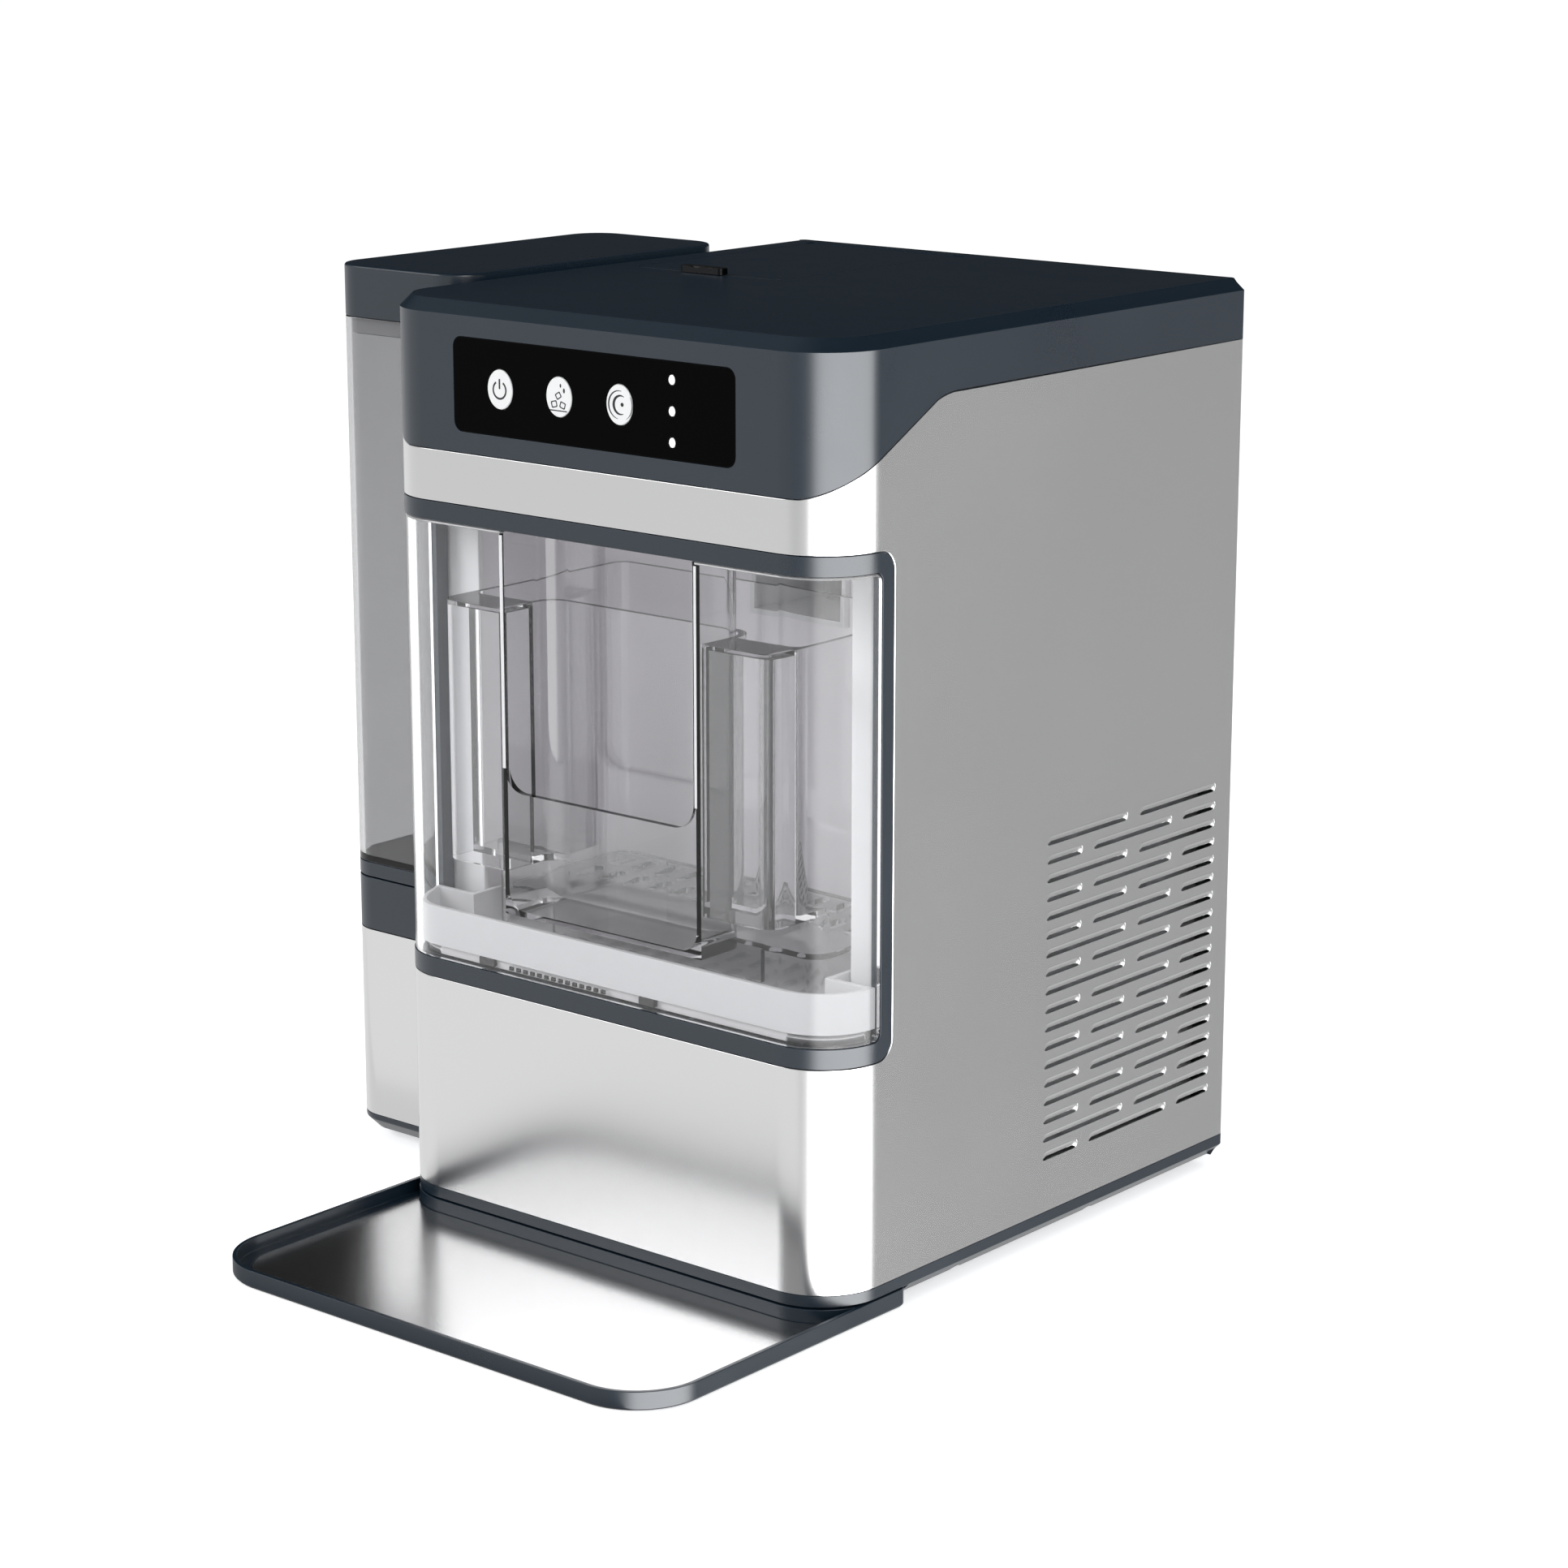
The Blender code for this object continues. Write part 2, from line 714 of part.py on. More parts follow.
def make_steel_wrap():
    """The sheet round the front and the sides, with a short return at the rear."""
    wrap = slab(
        "steel_wrap", "Z", [footprint(0), footprint(STEEL_WALL)[::-1]], STEEL_LOW, BODY_TOP, "steel"
    )
    side = HALF_WIDTH - REAR_FLANGE
    cut(
        wrap,
        slab("above_wrap", "X", [fascia_profile(GAP, BODY_TOP + OVERRUN)],
             -HALF_WIDTH - OVERRUN, HALF_WIDTH + OVERRUN),
        slab("window", "X",
             [rounded(-OVERRUN, WINDOW_LOW, WINDOW_REAR, WINDOW_HIGH, WINDOW_RADIUS)],
             -HALF_WIDTH - OVERRUN, HALF_WIDTH + OVERRUN),
        block("rear_opening", (-side, BODY_DEPTH - OVERRUN, 0), (side, BODY_DEPTH + OVERRUN, BODY_TOP)),
        vent_cutter("vents_right", HALF_WIDTH - STEEL_WALL - OVERRUN / 2, HALF_WIDTH + OVERRUN),
        vent_cutter("vents_left", -HALF_WIDTH - OVERRUN, -HALF_WIDTH + STEEL_WALL + OVERRUN / 2),
        block(
            "bracket_window",
            (-HALF_WIDTH - OVERRUN, BRACKET_FRONT - GAP, BRACKET_LOW - GAP),
            (-HALF_WIDTH + OVERRUN, BRACKET_REAR + GAP, BRACKET_HIGH + GAP),
        ),
        rod("pipe_window", "X", (PIPE_RISER_Y, PIPE_LOW), PIPE_RADIUS + PIPE_HOLE_CLEARANCE,
            -HALF_WIDTH - OVERRUN, -HALF_WIDTH + OVERRUN),
    )


def panel_outline(inset):
    return rounded(
        PANEL_LEFT + inset, PANEL_LOW + inset, PANEL_RIGHT - inset, PANEL_HIGH - inset,
        max(PANEL_RADIUS - inset, STEM_RADIUS),
    )


def lid_opening_outline():
    left = LID_LEFT - LID_CLEARANCE
    right = LID_RIGHT + LID_CLEARANCE
    rear = HINGE_Y + HINGE_DROP + LID_CLEARANCE
    shoulder = HINGE_Y - KNUCKLE_RADIUS - LID_CLEARANCE
    front = LID_FRONT - LID_CLEARANCE
    corner = LID_RADIUS + LID_CLEARANCE
    outline = arc((left + corner, front + corner), corner, 180, 270)
    outline += arc((right - corner, front + corner), corner, 270, 360)
    outline += [(right, shoulder), (HINGE_RIGHT, shoulder), (HINGE_RIGHT, rear)]
    outline += [(HINGE_LEFT, rear), (HINGE_LEFT, shoulder), (left, shoulder)]
    return outline


def board_box():
    """The board's outline: left, low, right, high."""
    return (
        PANEL_LEFT - BOARD_MARGIN, PANEL_LOW - BOARD_MARGIN,
        PANEL_RIGHT + BOARD_MARGIN, PANEL_HIGH + BOARD_MARGIN,
    )


def make_top_cover():
    """The dark cover: a hollow cap with the fascia in front and the lid's opening on top."""
    shape = slab_mesh("Z", [footprint(0)], FASCIA_LOW, BODY_TOP)
    cover = solid("top_cover", chamfer(shape, BODY_TOP, COVER_CHAMFER), "dark")
    shape.shade_smooth()
    shape.set_sharp_from_angle(angle=math.radians(BEVEL_DEGREES))
    low = FASCIA_LOW - OVERRUN
    below = slab("below_cover", "X", [fascia_profile(0, low)], -HALF_WIDTH - OVERRUN, HALF_WIDTH + OVERRUN)
    inner = chamfer(slab_mesh("Z", [footprint(COVER_WALL)], low, COVER_UNDERSIDE), COVER_UNDERSIDE,
                    COVER_CHAMFER)
    opening = slab("lid_opening", "Z", [lid_opening_outline()], COVER_UNDERSIDE - OVERRUN, BODY_TOP + OVERRUN)
    seat = slab("panel_seat", "Y", [panel_outline(-GAP)], -OVERRUN, PANEL_THICKNESS + GAP)
    window = slab("panel_window", "Y", [panel_outline(PANEL_SEAT)], -OVERRUN, COVER_WALL + OVERRUN)
    cut(cover, below, solid("cover_hollow", inner), opening, seat, window)
    left, low, right, high = board_box()
    for index, x in enumerate((left + POST_INSET, right - POST_INSET)):
        for level, z in enumerate((low + POST_INSET, high - POST_INSET)):
            post = rod(f"board_post_{index}_{level}", "Y", (x, z), POST_RADIUS,
                       COVER_WALL - PANEL_THICKNESS / 2, BOARD_FRONT - GAP)
            join(cover, post)
    for side, low_x, high_x in (
        ("left", HINGE_LEFT - PIN_SEAT, HINGE_LEFT),
        ("right", HINGE_RIGHT, HINGE_RIGHT + PIN_SEAT),
    ):
        boss = block(
            f"hinge_boss_{side}",
            (low_x, HINGE_Y - KNUCKLE_RADIUS, HINGE_Z - KNUCKLE_RADIUS),
            (high_x, HINGE_Y + KNUCKLE_RADIUS, COVER_UNDERSIDE + COVER_WALL / 2),
        )
        join(cover, boss)
    cut(cover, rod("pin_bore", "X", (HINGE_Y, HINGE_Z), HINGE_PIN_RADIUS + HINGE_BORE_CLEARANCE,
                   HINGE_LEFT - PIN_SEAT / 2, HINGE_RIGHT + PIN_SEAT / 2))


def make_lid():
    """The lid with its hinge knuckle, the chrome tab and the hinge pin."""
    carrier = new_empty("lid_axis", (0, HINGE_Y, HINGE_Z), ROOT)
    outline = arc((LID_LEFT + LID_RADIUS, LID_FRONT + LID_RADIUS), LID_RADIUS, 180, 270)
    outline += arc((LID_RIGHT - LID_RADIUS, LID_FRONT + LID_RADIUS), LID_RADIUS, 270, 360)
    outline += [(LID_RIGHT, HINGE_Y), (LID_LEFT, HINGE_Y)]
    lid = slab("top_lid", "Z", [outline], BODY_TOP - LID_THICKNESS, BODY_TOP, "dark", carrier)
    knuckle = rod("knuckle", "X", (HINGE_Y, HINGE_Z), KNUCKLE_RADIUS,
                  LID_LEFT + KNUCKLE_INSET, LID_RIGHT - KNUCKLE_INSET)
    foot = (TAB_LEFT + TAB_FOOT_INSET, LID_FRONT + TAB_FOOT, TAB_RIGHT - TAB_FOOT_INSET, TAB_REAR - GAP)
    join(lid, knuckle)
    cut(
        lid,
        block("tab_slot", (foot[0] - GAP, foot[1] - GAP, BODY_TOP - LID_THICKNESS - OVERRUN),
              (foot[2] + GAP, foot[3] + GAP, BODY_TOP + OVERRUN)),
        rod("knuckle_bore", "X", (HINGE_Y, HINGE_Z), HINGE_PIN_RADIUS + HINGE_BORE_CLEARANCE,
            LID_LEFT - OVERRUN, LID_RIGHT + OVERRUN),
    )
    bar = rounded(TAB_LEFT, TAB_FRONT, TAB_RIGHT, TAB_REAR, TAB_RADIUS)
    tab = slab("lid_tab", "Z", [bar], BODY_TOP + GAP, BODY_TOP + GAP + TAB_THICKNESS, "chrome", carrier)
    join(tab, block("tab_foot", (foot[0], foot[1], BODY_TOP - LID_THICKNESS),
                    (foot[2], foot[3], BODY_TOP + TAB_THICKNESS / 2)))
    rod("lid_pin", "X", (HINGE_Y, HINGE_Z), HINGE_PIN_RADIUS,
        HINGE_LEFT - PIN_SEAT / 2 + GAP, HINGE_RIGHT + PIN_SEAT / 2 - GAP, "chrome")


def button_x(index):
    return BUTTON_FIRST + index * BUTTON_PITCH


def lens_z(index):
    return LENS_TOP_LEVEL - index * LENS_PITCH


def make_controls():
    """The glossy plate, the buttons that travel through it, the lenses and the board behind."""
    holes = [
        oval(button_x(index), BUTTON_LEVEL, BUTTON_WIDTH + 2 * GAP, BUTTON_HEIGHT + 2 * GAP)[::-1]
        for index in range(len(BUTTONS))
    ]
    holes += [
        oval(LENS_X, lens_z(index), LENS_WIDTH + 2 * GAP, LENS_HEIGHT + 2 * GAP)[::-1]
        for index in range(len(LENSES))
    ]
    slab("control_panel", "Y", [panel_outline(0)] + holes, 0, PANEL_THICKNESS, "black")
    switch_face = BOARD_FRONT - SWITCH_HEIGHT
    flange_front = PANEL_THICKNESS + GAP
    for index, name in enumerate(BUTTONS):
        x = button_x(index)
        carrier = new_empty(f"{name}_travel", (x, 0, BUTTON_LEVEL), ROOT)
        cap = oval(x, BUTTON_LEVEL, BUTTON_WIDTH, BUTTON_HEIGHT)
        button = slab(f"button_{name}", "Y", [cap], -BUTTON_PROUD, flange_front + BUTTON_FLANGE_WALL,
                      "white", carrier)
        flange = oval(x, BUTTON_LEVEL, BUTTON_WIDTH + 2 * BUTTON_FLANGE, BUTTON_HEIGHT + 2 * BUTTON_FLANGE)
        join(
            button,
            slab(f"flange_{name}", "Y", [flange], flange_front, flange_front + BUTTON_FLANGE_WALL),
            rod(f"stem_{name}", "Y", (x, BUTTON_LEVEL), STEM_RADIUS,
                flange_front + BUTTON_FLANGE_WALL / 2, switch_face - BUTTON_TRAVEL - GAP),
        )
    for index, name in enumerate(LENSES):
        lens = oval(LENS_X, lens_z(index), LENS_WIDTH, LENS_HEIGHT)
        slab(f"lens_{name}", "Y", [lens], 0, BOARD_FRONT - GAP, "white")
    left, low, right, high = board_box()
    board = block("control_board", (left, BOARD_FRONT, low), (right, BOARD_FRONT + BOARD_THICKNESS, high),
                  "board")
    for index, name in enumerate(BUTTONS):
        join(board, rod(f"switch_{name}", "Y", (button_x(index), BUTTON_LEVEL), SWITCH_RADIUS,
                        switch_face, BOARD_FRONT + BOARD_THICKNESS / 2))


def make_base():
    """The base pan with its chamfered edge, the recess for the tray and four rubber feet."""
    shape = chamfer(slab_mesh("Z", [footprint(0)], BASE_LOW, BASE_HIGH), BASE_LOW, BASE_CHAMFER)
    base = solid("base_pan", shape, "dark")
    shape.shade_smooth()
    shape.set_sharp_from_angle(angle=math.radians(BEVEL_DEGREES))
    side = HALF_WIDTH + OVERRUN
    tray_rear = TRAY_TONGUE + TRAY_CLEARANCE
    floor = TRAY_NOTCH_HIGH + BASE_FLOOR
    well_low = (-HALF_WIDTH + BASE_WELL_MARGIN, tray_rear + BASE_WALL, PAN_FLOOR)
    well_high = (HALF_WIDTH - BASE_WELL_MARGIN, BODY_DEPTH - BASE_WELL_MARGIN, BASE_HIGH + OVERRUN)
    cut(
        base,
        block("tray_recess", (-side, -OVERRUN, 0), (side, tray_rear, TRAY_NOTCH_HIGH)),
        slab("base_hollow", "Z", [footprint(BASE_WALL)], floor, BASE_HIGH + OVERRUN),
        block("base_well", well_low, well_high),
    )
    for index, y in enumerate(EDGE_NOTCH_PLACES):
        place = (y, BASE_LOW + EDGE_NOTCH_DEPTH - EDGE_NOTCH_RADIUS)
        inner = HALF_WIDTH - BASE_WELL_MARGIN
        cut(
            base,
            rod(f"edge_notch_left_{index}", "X", place, EDGE_NOTCH_RADIUS, -side, -inner),
            rod(f"edge_notch_right_{index}", "X", place, EDGE_NOTCH_RADIUS, inner, side),
        )
    foot_rows = {"front": tray_rear + FOOT_BEHIND_TRAY, "rear": BODY_DEPTH - FOOT_INSET_REAR}
    for row, y in foot_rows.items():
        for side_name, x in (("left", FOOT_INSET_X - HALF_WIDTH), ("right", HALF_WIDTH - FOOT_INSET_X)):
            rod(f"foot_{row}_{side_name}", "Z", (x, y), FOOT_RADIUS, 0, FEET_HIGH, "rubber")


def tray_outline(inset):
    side = HALF_WIDTH - inset
    corner = TRAY_RADIUS - inset
    rear_corner = max(TRAY_REAR_RADIUS - inset, 0)
    return rounded(-side, inset - TRAY_REACH, side, TRAY_TONGUE - inset,
                   (corner, corner, rear_corner, rear_corner))


def tray_well(name, inset, low):
    """The space in front of the body's round front, inside the tray's wall."""
    well = slab(name, "Z", [tray_outline(inset)], low, TRAY_HEIGHT + OVERRUN)
    return cut(well, slab(f"{name}_rear", "Z", [footprint(-TRAY_REAR_WALL)], low - OVERRUN,
                          TRAY_HEIGHT + 2 * OVERRUN))


def make_tray():
    """The drip tray: a dark rim that reaches under the base, and a steel plate on its ledge."""
    carrier = new_empty("tray_travel", (0, -TRAY_REACH, 0), ROOT)
    shape = chamfer(slab_mesh("Z", [tray_outline(0)], 0, TRAY_HEIGHT), 0, TRAY_CHAMFER)
    rim = solid("tray_rim", shape, "dark", carrier, BEVEL_DEGREES)
    inner = TRAY_WALL + TRAY_LEDGE
    cut(rim, tray_well("tray_well", TRAY_WALL, TRAY_LEDGE_LEVEL), tray_well("plate_well", inner, TRAY_FLOOR))
    plate = slab("tray_plate", "Z", [tray_outline(inner + GAP)], TRAY_FLOOR + GAP, TRAY_LEDGE_LEVEL,
                 "steel", carrier)
    cut(plate, slab("plate_rear", "Z", [footprint(-TRAY_REAR_WALL - GAP)], -OVERRUN, TRAY_HEIGHT))


def outside_side_view(name, low, high, rear, radius):
    """A cutter that keeps only what lies inside a round-cornered side view, open to the front."""
    outer = rounded(-2 * OVERRUN, low - OVERRUN, rear + OVERRUN, high + OVERRUN, 0)
    kept = rounded(-OVERRUN, low, rear, high, (0, radius, radius, 0))
    return slab(name, "X", [outer, kept[::-1]], -HALF_WIDTH - OVERRUN, HALF_WIDTH + OVERRUN)


def make_window():
    """The dark ring round the drawer, the white frame behind it and the cabinet's liner."""
    ring = slab(
        "drawer_bezel", "Z", [front_band(0, BEZEL_THICKNESS, WINDOW_REAR - GAP)],
        WINDOW_LOW + GAP, WINDOW_HIGH - GAP, "dark",
    )
    reach = HALF_WIDTH + OVERRUN
    inner = rounded(
        -2 * OVERRUN, SHELL_LOW - GAP, SHELL_REAR + GAP, SHELL_HIGH + GAP,
        (0, BEZEL_INNER_RADIUS, BEZEL_INNER_RADIUS, 0),
    )
    cut(
        ring,
        outside_side_view("ring_outside", WINDOW_LOW + GAP, WINDOW_HIGH - GAP, WINDOW_REAR - GAP,
                          WINDOW_RADIUS),
        slab("ring_inside", "X", [inner], -reach, reach),
    )
    side = HALF_WIDTH - STEEL_WALL - FRAME_SIDE_CLEARANCE
    frame_outer = rounded(-side, WINDOW_LOW - FRAME_RADIUS, side, WINDOW_HIGH + FRAME_RADIUS, FRAME_RADIUS)
    frame_inner = rounded(-FRAME_HALF_OPENING, FRAME_SILL, FRAME_HALF_OPENING, FRAME_HEAD, FRAME_RADIUS)
    slab("window_frame", "Y", [frame_outer, frame_inner[::-1]], FRAME_FRONT, FRAME_FRONT + FRAME_THICKNESS,
         "white")
    skin = LINER_WALL
    liner = slab(
        "cabinet_liner", "Y",
        [rounded(-LINER_HALF_WIDTH - skin, LINER_FLOOR - skin, LINER_HALF_WIDTH + skin,
                 LINER_CEILING + skin, LINER_RADIUS)],
        LINER_FRONT, LINER_REAR + skin, "liner",
    )
    chute = CHUTE_HALF_WIDTH + CHUTE_WALL + GAP
    cut(
        liner,
        slab("liner_hollow", "Y",
             [rounded(-LINER_HALF_WIDTH, LINER_FLOOR, LINER_HALF_WIDTH, LINER_CEILING,
                      LINER_RADIUS - skin)],
             LINER_FRONT - OVERRUN, LINER_REAR),
        block("chute_window", (-chute + BARREL_X, LINER_REAR - OVERRUN, CHUTE_LOW - CHUTE_WALL - GAP),
              (chute + BARREL_X, LINER_REAR + OVERRUN, CHUTE_LOW + CHUTE_HEIGHT + CHUTE_WALL + GAP)),
    )
    for name, middle in (("left", -TAIL_HALF_WIDTH), ("right", TAIL_HALF_WIDTH)):
        inward = math.copysign(RAIL_INSET, -middle)
        ends = sorted((middle + inward, middle + inward + math.copysign(RAIL_WIDTH, -middle)))
        block(f"drawer_rail_{name}", (ends[0], LINER_FRONT + RAIL_FRONT_MARGIN, LINER_FLOOR + GAP),
              (ends[1], LINER_REAR - RAIL_FRONT_MARGIN, APRON_LOW - GAP), "white")


def pocket_outline(inset):
    """The grip pocket seen from above, drawn in by an inset, open towards the front."""
    half = NOTCH_HALF_WIDTH + POCKET_WALL - inset
    front = DRAWER_INSET + DRAWER_WALL / 2 - (OVERRUN if inset else 0)
    radius = POCKET_RADIUS - inset
    return rounded(-half, front, half, POCKET_BACK - inset, (0, 0, radius, radius))


def make_drawer_front(carrier):
    """The clear front: a wall that follows the body's front, a notch and a grip pocket behind it."""
    front = slab("drawer_front", "Z", [front_band(DRAWER_INSET, SHELL_SKIN, SHELL_REAR + GAP)],
                 SHELL_LOW - GAP, SHELL_HIGH + GAP, "clear", carrier)
    pocket = slab("pocket", "Z", [pocket_outline(0)], POCKET_FLOOR - POCKET_WALL, SHELL_HIGH - GAP)
    notch = rounded(-NOTCH_HALF_WIDTH, NOTCH_LOW, NOTCH_HALF_WIDTH, SHELL_HIGH + OVERRUN,
                    (NOTCH_RADIUS, NOTCH_RADIUS, 0, 0))
    inside = rounded(-NOTCH_HALF_WIDTH, POCKET_FLOOR, NOTCH_HALF_WIDTH, SHELL_HIGH + OVERRUN,
                     (POCKET_LOW_RADIUS, POCKET_LOW_RADIUS, 0, 0))
    hollow = slab("pocket_hollow", "Y", [inside], SHELL_SKIN, POCKET_BACK + OVERRUN)
    plan = slab("pocket_plan", "Z", [pocket_outline(POCKET_WALL)], POCKET_FLOOR - OVERRUN,
                SHELL_HIGH + OVERRUN)
    combine(hollow, plan, "INTERSECT")
    cut(front, outside_side_view("shell_outside", SHELL_LOW, SHELL_HIGH, SHELL_REAR, BEZEL_INNER_RADIUS))
    join(front, pocket)
    cut(front, hollow, slab("notch", "Y", [notch], -OVERRUN, SHELL_SKIN + OVERRUN / 2))


def bin_outline(inset, ear_front):
    """The bin seen from above: two ears beside the pocket, drawn in by an inset."""
    half = BIN_HALF_WIDTH - inset
    rear = BIN_REAR - inset
    ear = NOTCH_HALF_WIDTH + POCKET_WALL + BIN_SEAT_CLEARANCE + inset
    middle = POCKET_BACK + BIN_SEAT_CLEARANCE + inset
    corner = BIN_RADIUS - inset
    outline = arc((half - corner, ear_front + corner), corner, 270, 360)
    outline += arc((half - corner, rear - corner), corner, 0, 90)
    outline += arc((corner - half, rear - corner), corner, 90, 180)
    outline += arc((corner - half, ear_front + corner), corner, 180, 270)
    outline.append((-ear, ear_front))
    outline += arc((POCKET_RADIUS - ear, middle - POCKET_RADIUS), POCKET_RADIUS, 180, 90)
    outline += arc((ear - POCKET_RADIUS, middle - POCKET_RADIUS), POCKET_RADIUS, 90, 0)
    outline += [(ear, ear_front)]
    return outline


def make_bin(carrier):
    """The clear ice bin with a ledge on each ear, and the slotted grate on its floor."""
    low = APRON_LOW + APRON_FLOOR + GAP
    front = SHELL_SKIN + BIN_SEAT_CLEARANCE
    box_front = POCKET_BACK + BIN_SEAT_CLEARANCE
    box = (-BIN_HALF_WIDTH, box_front, BIN_HALF_WIDTH, BIN_REAR, BIN_RADIUS)
    ice_bin = slab("ice_bin", "Z", [inset_outline(*box, 0)], low, BIN_RIM, "clear", carrier)
    join(ice_bin, slab("bin_ears", "Z", [bin_outline(0, front)], BIN_EAR_LOW, BIN_RIM))
    cut(
        ice_bin,
        slab("box_hollow", "Z", [inset_outline(*box, BIN_WALL)], low + BIN_WALL, BIN_RIM + OVERRUN),
        slab("bin_hollow", "Z", [bin_outline(BIN_WALL, BIN_EAR_DEPTH)], BIN_EAR_LOW + BIN_WALL,
             BIN_RIM + 2 * OVERRUN),
    )
    ear = NOTCH_HALF_WIDTH + POCKET_WALL + BIN_SEAT_CLEARANCE + BIN_WALL
    for name, side in (("left", -1), ("right", 1)):
        near, far = sorted((side * ear, side * (BIN_HALF_WIDTH - BIN_WALL)))
        cut(ice_bin, block(f"ear_hollow_{name}", (near, front + BIN_WALL, BIN_EAR_LOW - OVERRUN),
                           (far, BIN_EAR_DEPTH - BIN_WALL, BIN_RIM - BIN_WALL)))
    half = BIN_HALF_WIDTH - BIN_WALL - GRATE_MARGIN
    grate_front = box_front + BIN_WALL + GRATE_MARGIN
    rear = BIN_REAR - BIN_WALL - GRATE_MARGIN
    slots = []
    pitch = 2 * (half - GRATE_SLOT_REAR) / GRATE_SLOTS
    for index in range(GRATE_SLOTS):
        middle = GRATE_SLOT_REAR - half + pitch * (index + 0.5)
        slot_rear = rear - GRATE_SLOT_REAR
        for row in range(2):
            high = slot_rear - row * (GRATE_SLOT_LENGTH + GRATE_SLOT_WIDTH)
            slots.append([
                (middle - GRATE_SLOT_WIDTH / 2, high - GRATE_SLOT_LENGTH),
                (middle + GRATE_SLOT_WIDTH / 2, high - GRATE_SLOT_LENGTH),
                (middle + GRATE_SLOT_WIDTH / 2, high),
                (middle - GRATE_SLOT_WIDTH / 2, high),
            ])
    plate = rounded(-half, grate_front, half, rear, BIN_RADIUS)
    grate = slab("bin_grate", "Z", [plate], GRATE_LEVEL - GRATE_THICKNESS, GRATE_LEVEL, "clear", carrier)
    cut(grate, slab("grate_slots", "Z", slots, GRATE_LEVEL - OVERRUN, GRATE_LEVEL + OVERRUN))
    for name, y in (("front", grate_front + GAP), ("rear", rear - GRATE_RIB - GAP)):
        join(grate, block(f"grate_rib_{name}", (GRATE_RIB_INSET - half, y, low + BIN_WALL + GAP),
                          (half - GRATE_RIB_INSET, y + GRATE_RIB, GRATE_LEVEL - GRATE_THICKNESS / 2)))


def apron_outline(inset):
    """The drawer's base seen from above: wide behind the front, narrow where it enters the cabinet."""
    rear = SHELL_REAR - inset
    tail = TAIL_HALF_WIDTH - inset
    return front_line(SHELL_SKIN + BIN_SEAT_CLEARANCE + inset, rear) + [
        (tail, rear), (tail, TAIL_REAR - inset), (-tail, TAIL_REAR - inset), (-tail, rear),
    ]


def make_drawer():
    """Everything that slides out with the drawer."""
    carrier = new_empty("drawer_travel", (0, DRAWER_INSET, 0), ROOT)
    make_drawer_front(carrier)
    make_bin(carrier)
    apron = slab("drawer_base", "Z", [apron_outline(0)], APRON_LOW, APRON_HIGH, "white", carrier)
    cut(apron, slab("apron_hollow", "Z", [apron_outline(APRON_WALL)], APRON_LOW + APRON_FLOOR,
                    APRON_HIGH + OVERRUN))


def tank_outline(inset):
    return inset_outline(TANK_LEFT, TANK_FRONT, TANK_RIGHT, TANK_REAR, TANK_RADIUS, inset)


def make_tank():
    """The clear tank with its dark collar and neck, the cap that lifts off and the valve."""
    carrier = new_empty("tank_travel", (TANK_X, TANK_Y, COLLAR_LOW), ROOT)
    tank = slab("tank_body", "Z", [tank_outline(0)], TANK_FLOOR, TANK_HIGH - GAP, "clear", carrier)
    cut(
        tank,
        slab("tank_hollow", "Z", [tank_outline(TANK_WALL)], TANK_FLOOR + TANK_FLOOR_WALL,
             TANK_HIGH + OVERRUN),
        rod("tank_drain", "Z", (TANK_X, TANK_Y), NECK_BORE + GAP, TANK_FLOOR - OVERRUN, TANK_FLOOR + OVERRUN),
    )
    collar = slab("tank_collar", "Z", [tank_outline(0)], COLLAR_LOW + GAP, TANK_FLOOR - GAP, "dark", carrier)
    hollow = slab("collar_hollow", "Z", [tank_outline(COLLAR_WALL)], COLLAR_LOW - OVERRUN,
                  TANK_FLOOR - COLLAR_FLOOR)
    neck = rod("collar_neck", "Z", (TANK_X, TANK_Y), NECK_RADIUS, NECK_LOW, TANK_FLOOR - COLLAR_FLOOR / 2)
    bore = rod("neck_bore", "Z", (TANK_X, TANK_Y), NECK_BORE, NECK_LOW + NECK_SEAT, TANK_FLOOR + OVERRUN)
    seat_bore = rod("neck_seat", "Z", (TANK_X, TANK_Y), NECK_SEAT_BORE, NECK_LOW - OVERRUN, TANK_FLOOR)
    cut(join(cut(collar, hollow), neck), bore, seat_bore)
    valve_axis = new_empty("valve_travel", (TANK_X, TANK_Y, TANK_FLOOR), ROOT)
    seat = DOCK_POST_HIGH + GAP
    valve = rod("tank_valve", "Z", (TANK_X, TANK_Y), VALVE_STEM, seat, TANK_FLOOR, "rubber", valve_axis)
    join(valve, rod("valve_disc", "Z", (TANK_X, TANK_Y), VALVE_RADIUS, NECK_LOW + NECK_SEAT + GAP,
                    NECK_LOW + NECK_SEAT + VALVE_HEAD))
    cap_axis = new_empty("cap_travel", (TANK_X, TANK_Y, TANK_HIGH), ROOT)
    shape = chamfer(slab_mesh("Z", [tank_outline(0)], TANK_HIGH, CAP_HIGH), CAP_HIGH, CAP_BEVEL, 2)
    cap = solid("tank_cap", shape, "dark", cap_axis, BEVEL_DEGREES)
    lip = TANK_WALL + CAP_LIP_CLEARANCE
    lip_low = TANK_HIGH - CAP_LIP_DEPTH
    join(cap, slab("cap_lip", "Z", [tank_outline(lip)], lip_low, TANK_HIGH + CAP_WALL))
    cut(cap, slab("cap_hollow", "Z", [tank_outline(lip + CAP_LIP_WALL)], lip_low - OVERRUN,
                  CAP_HIGH - CAP_WALL))


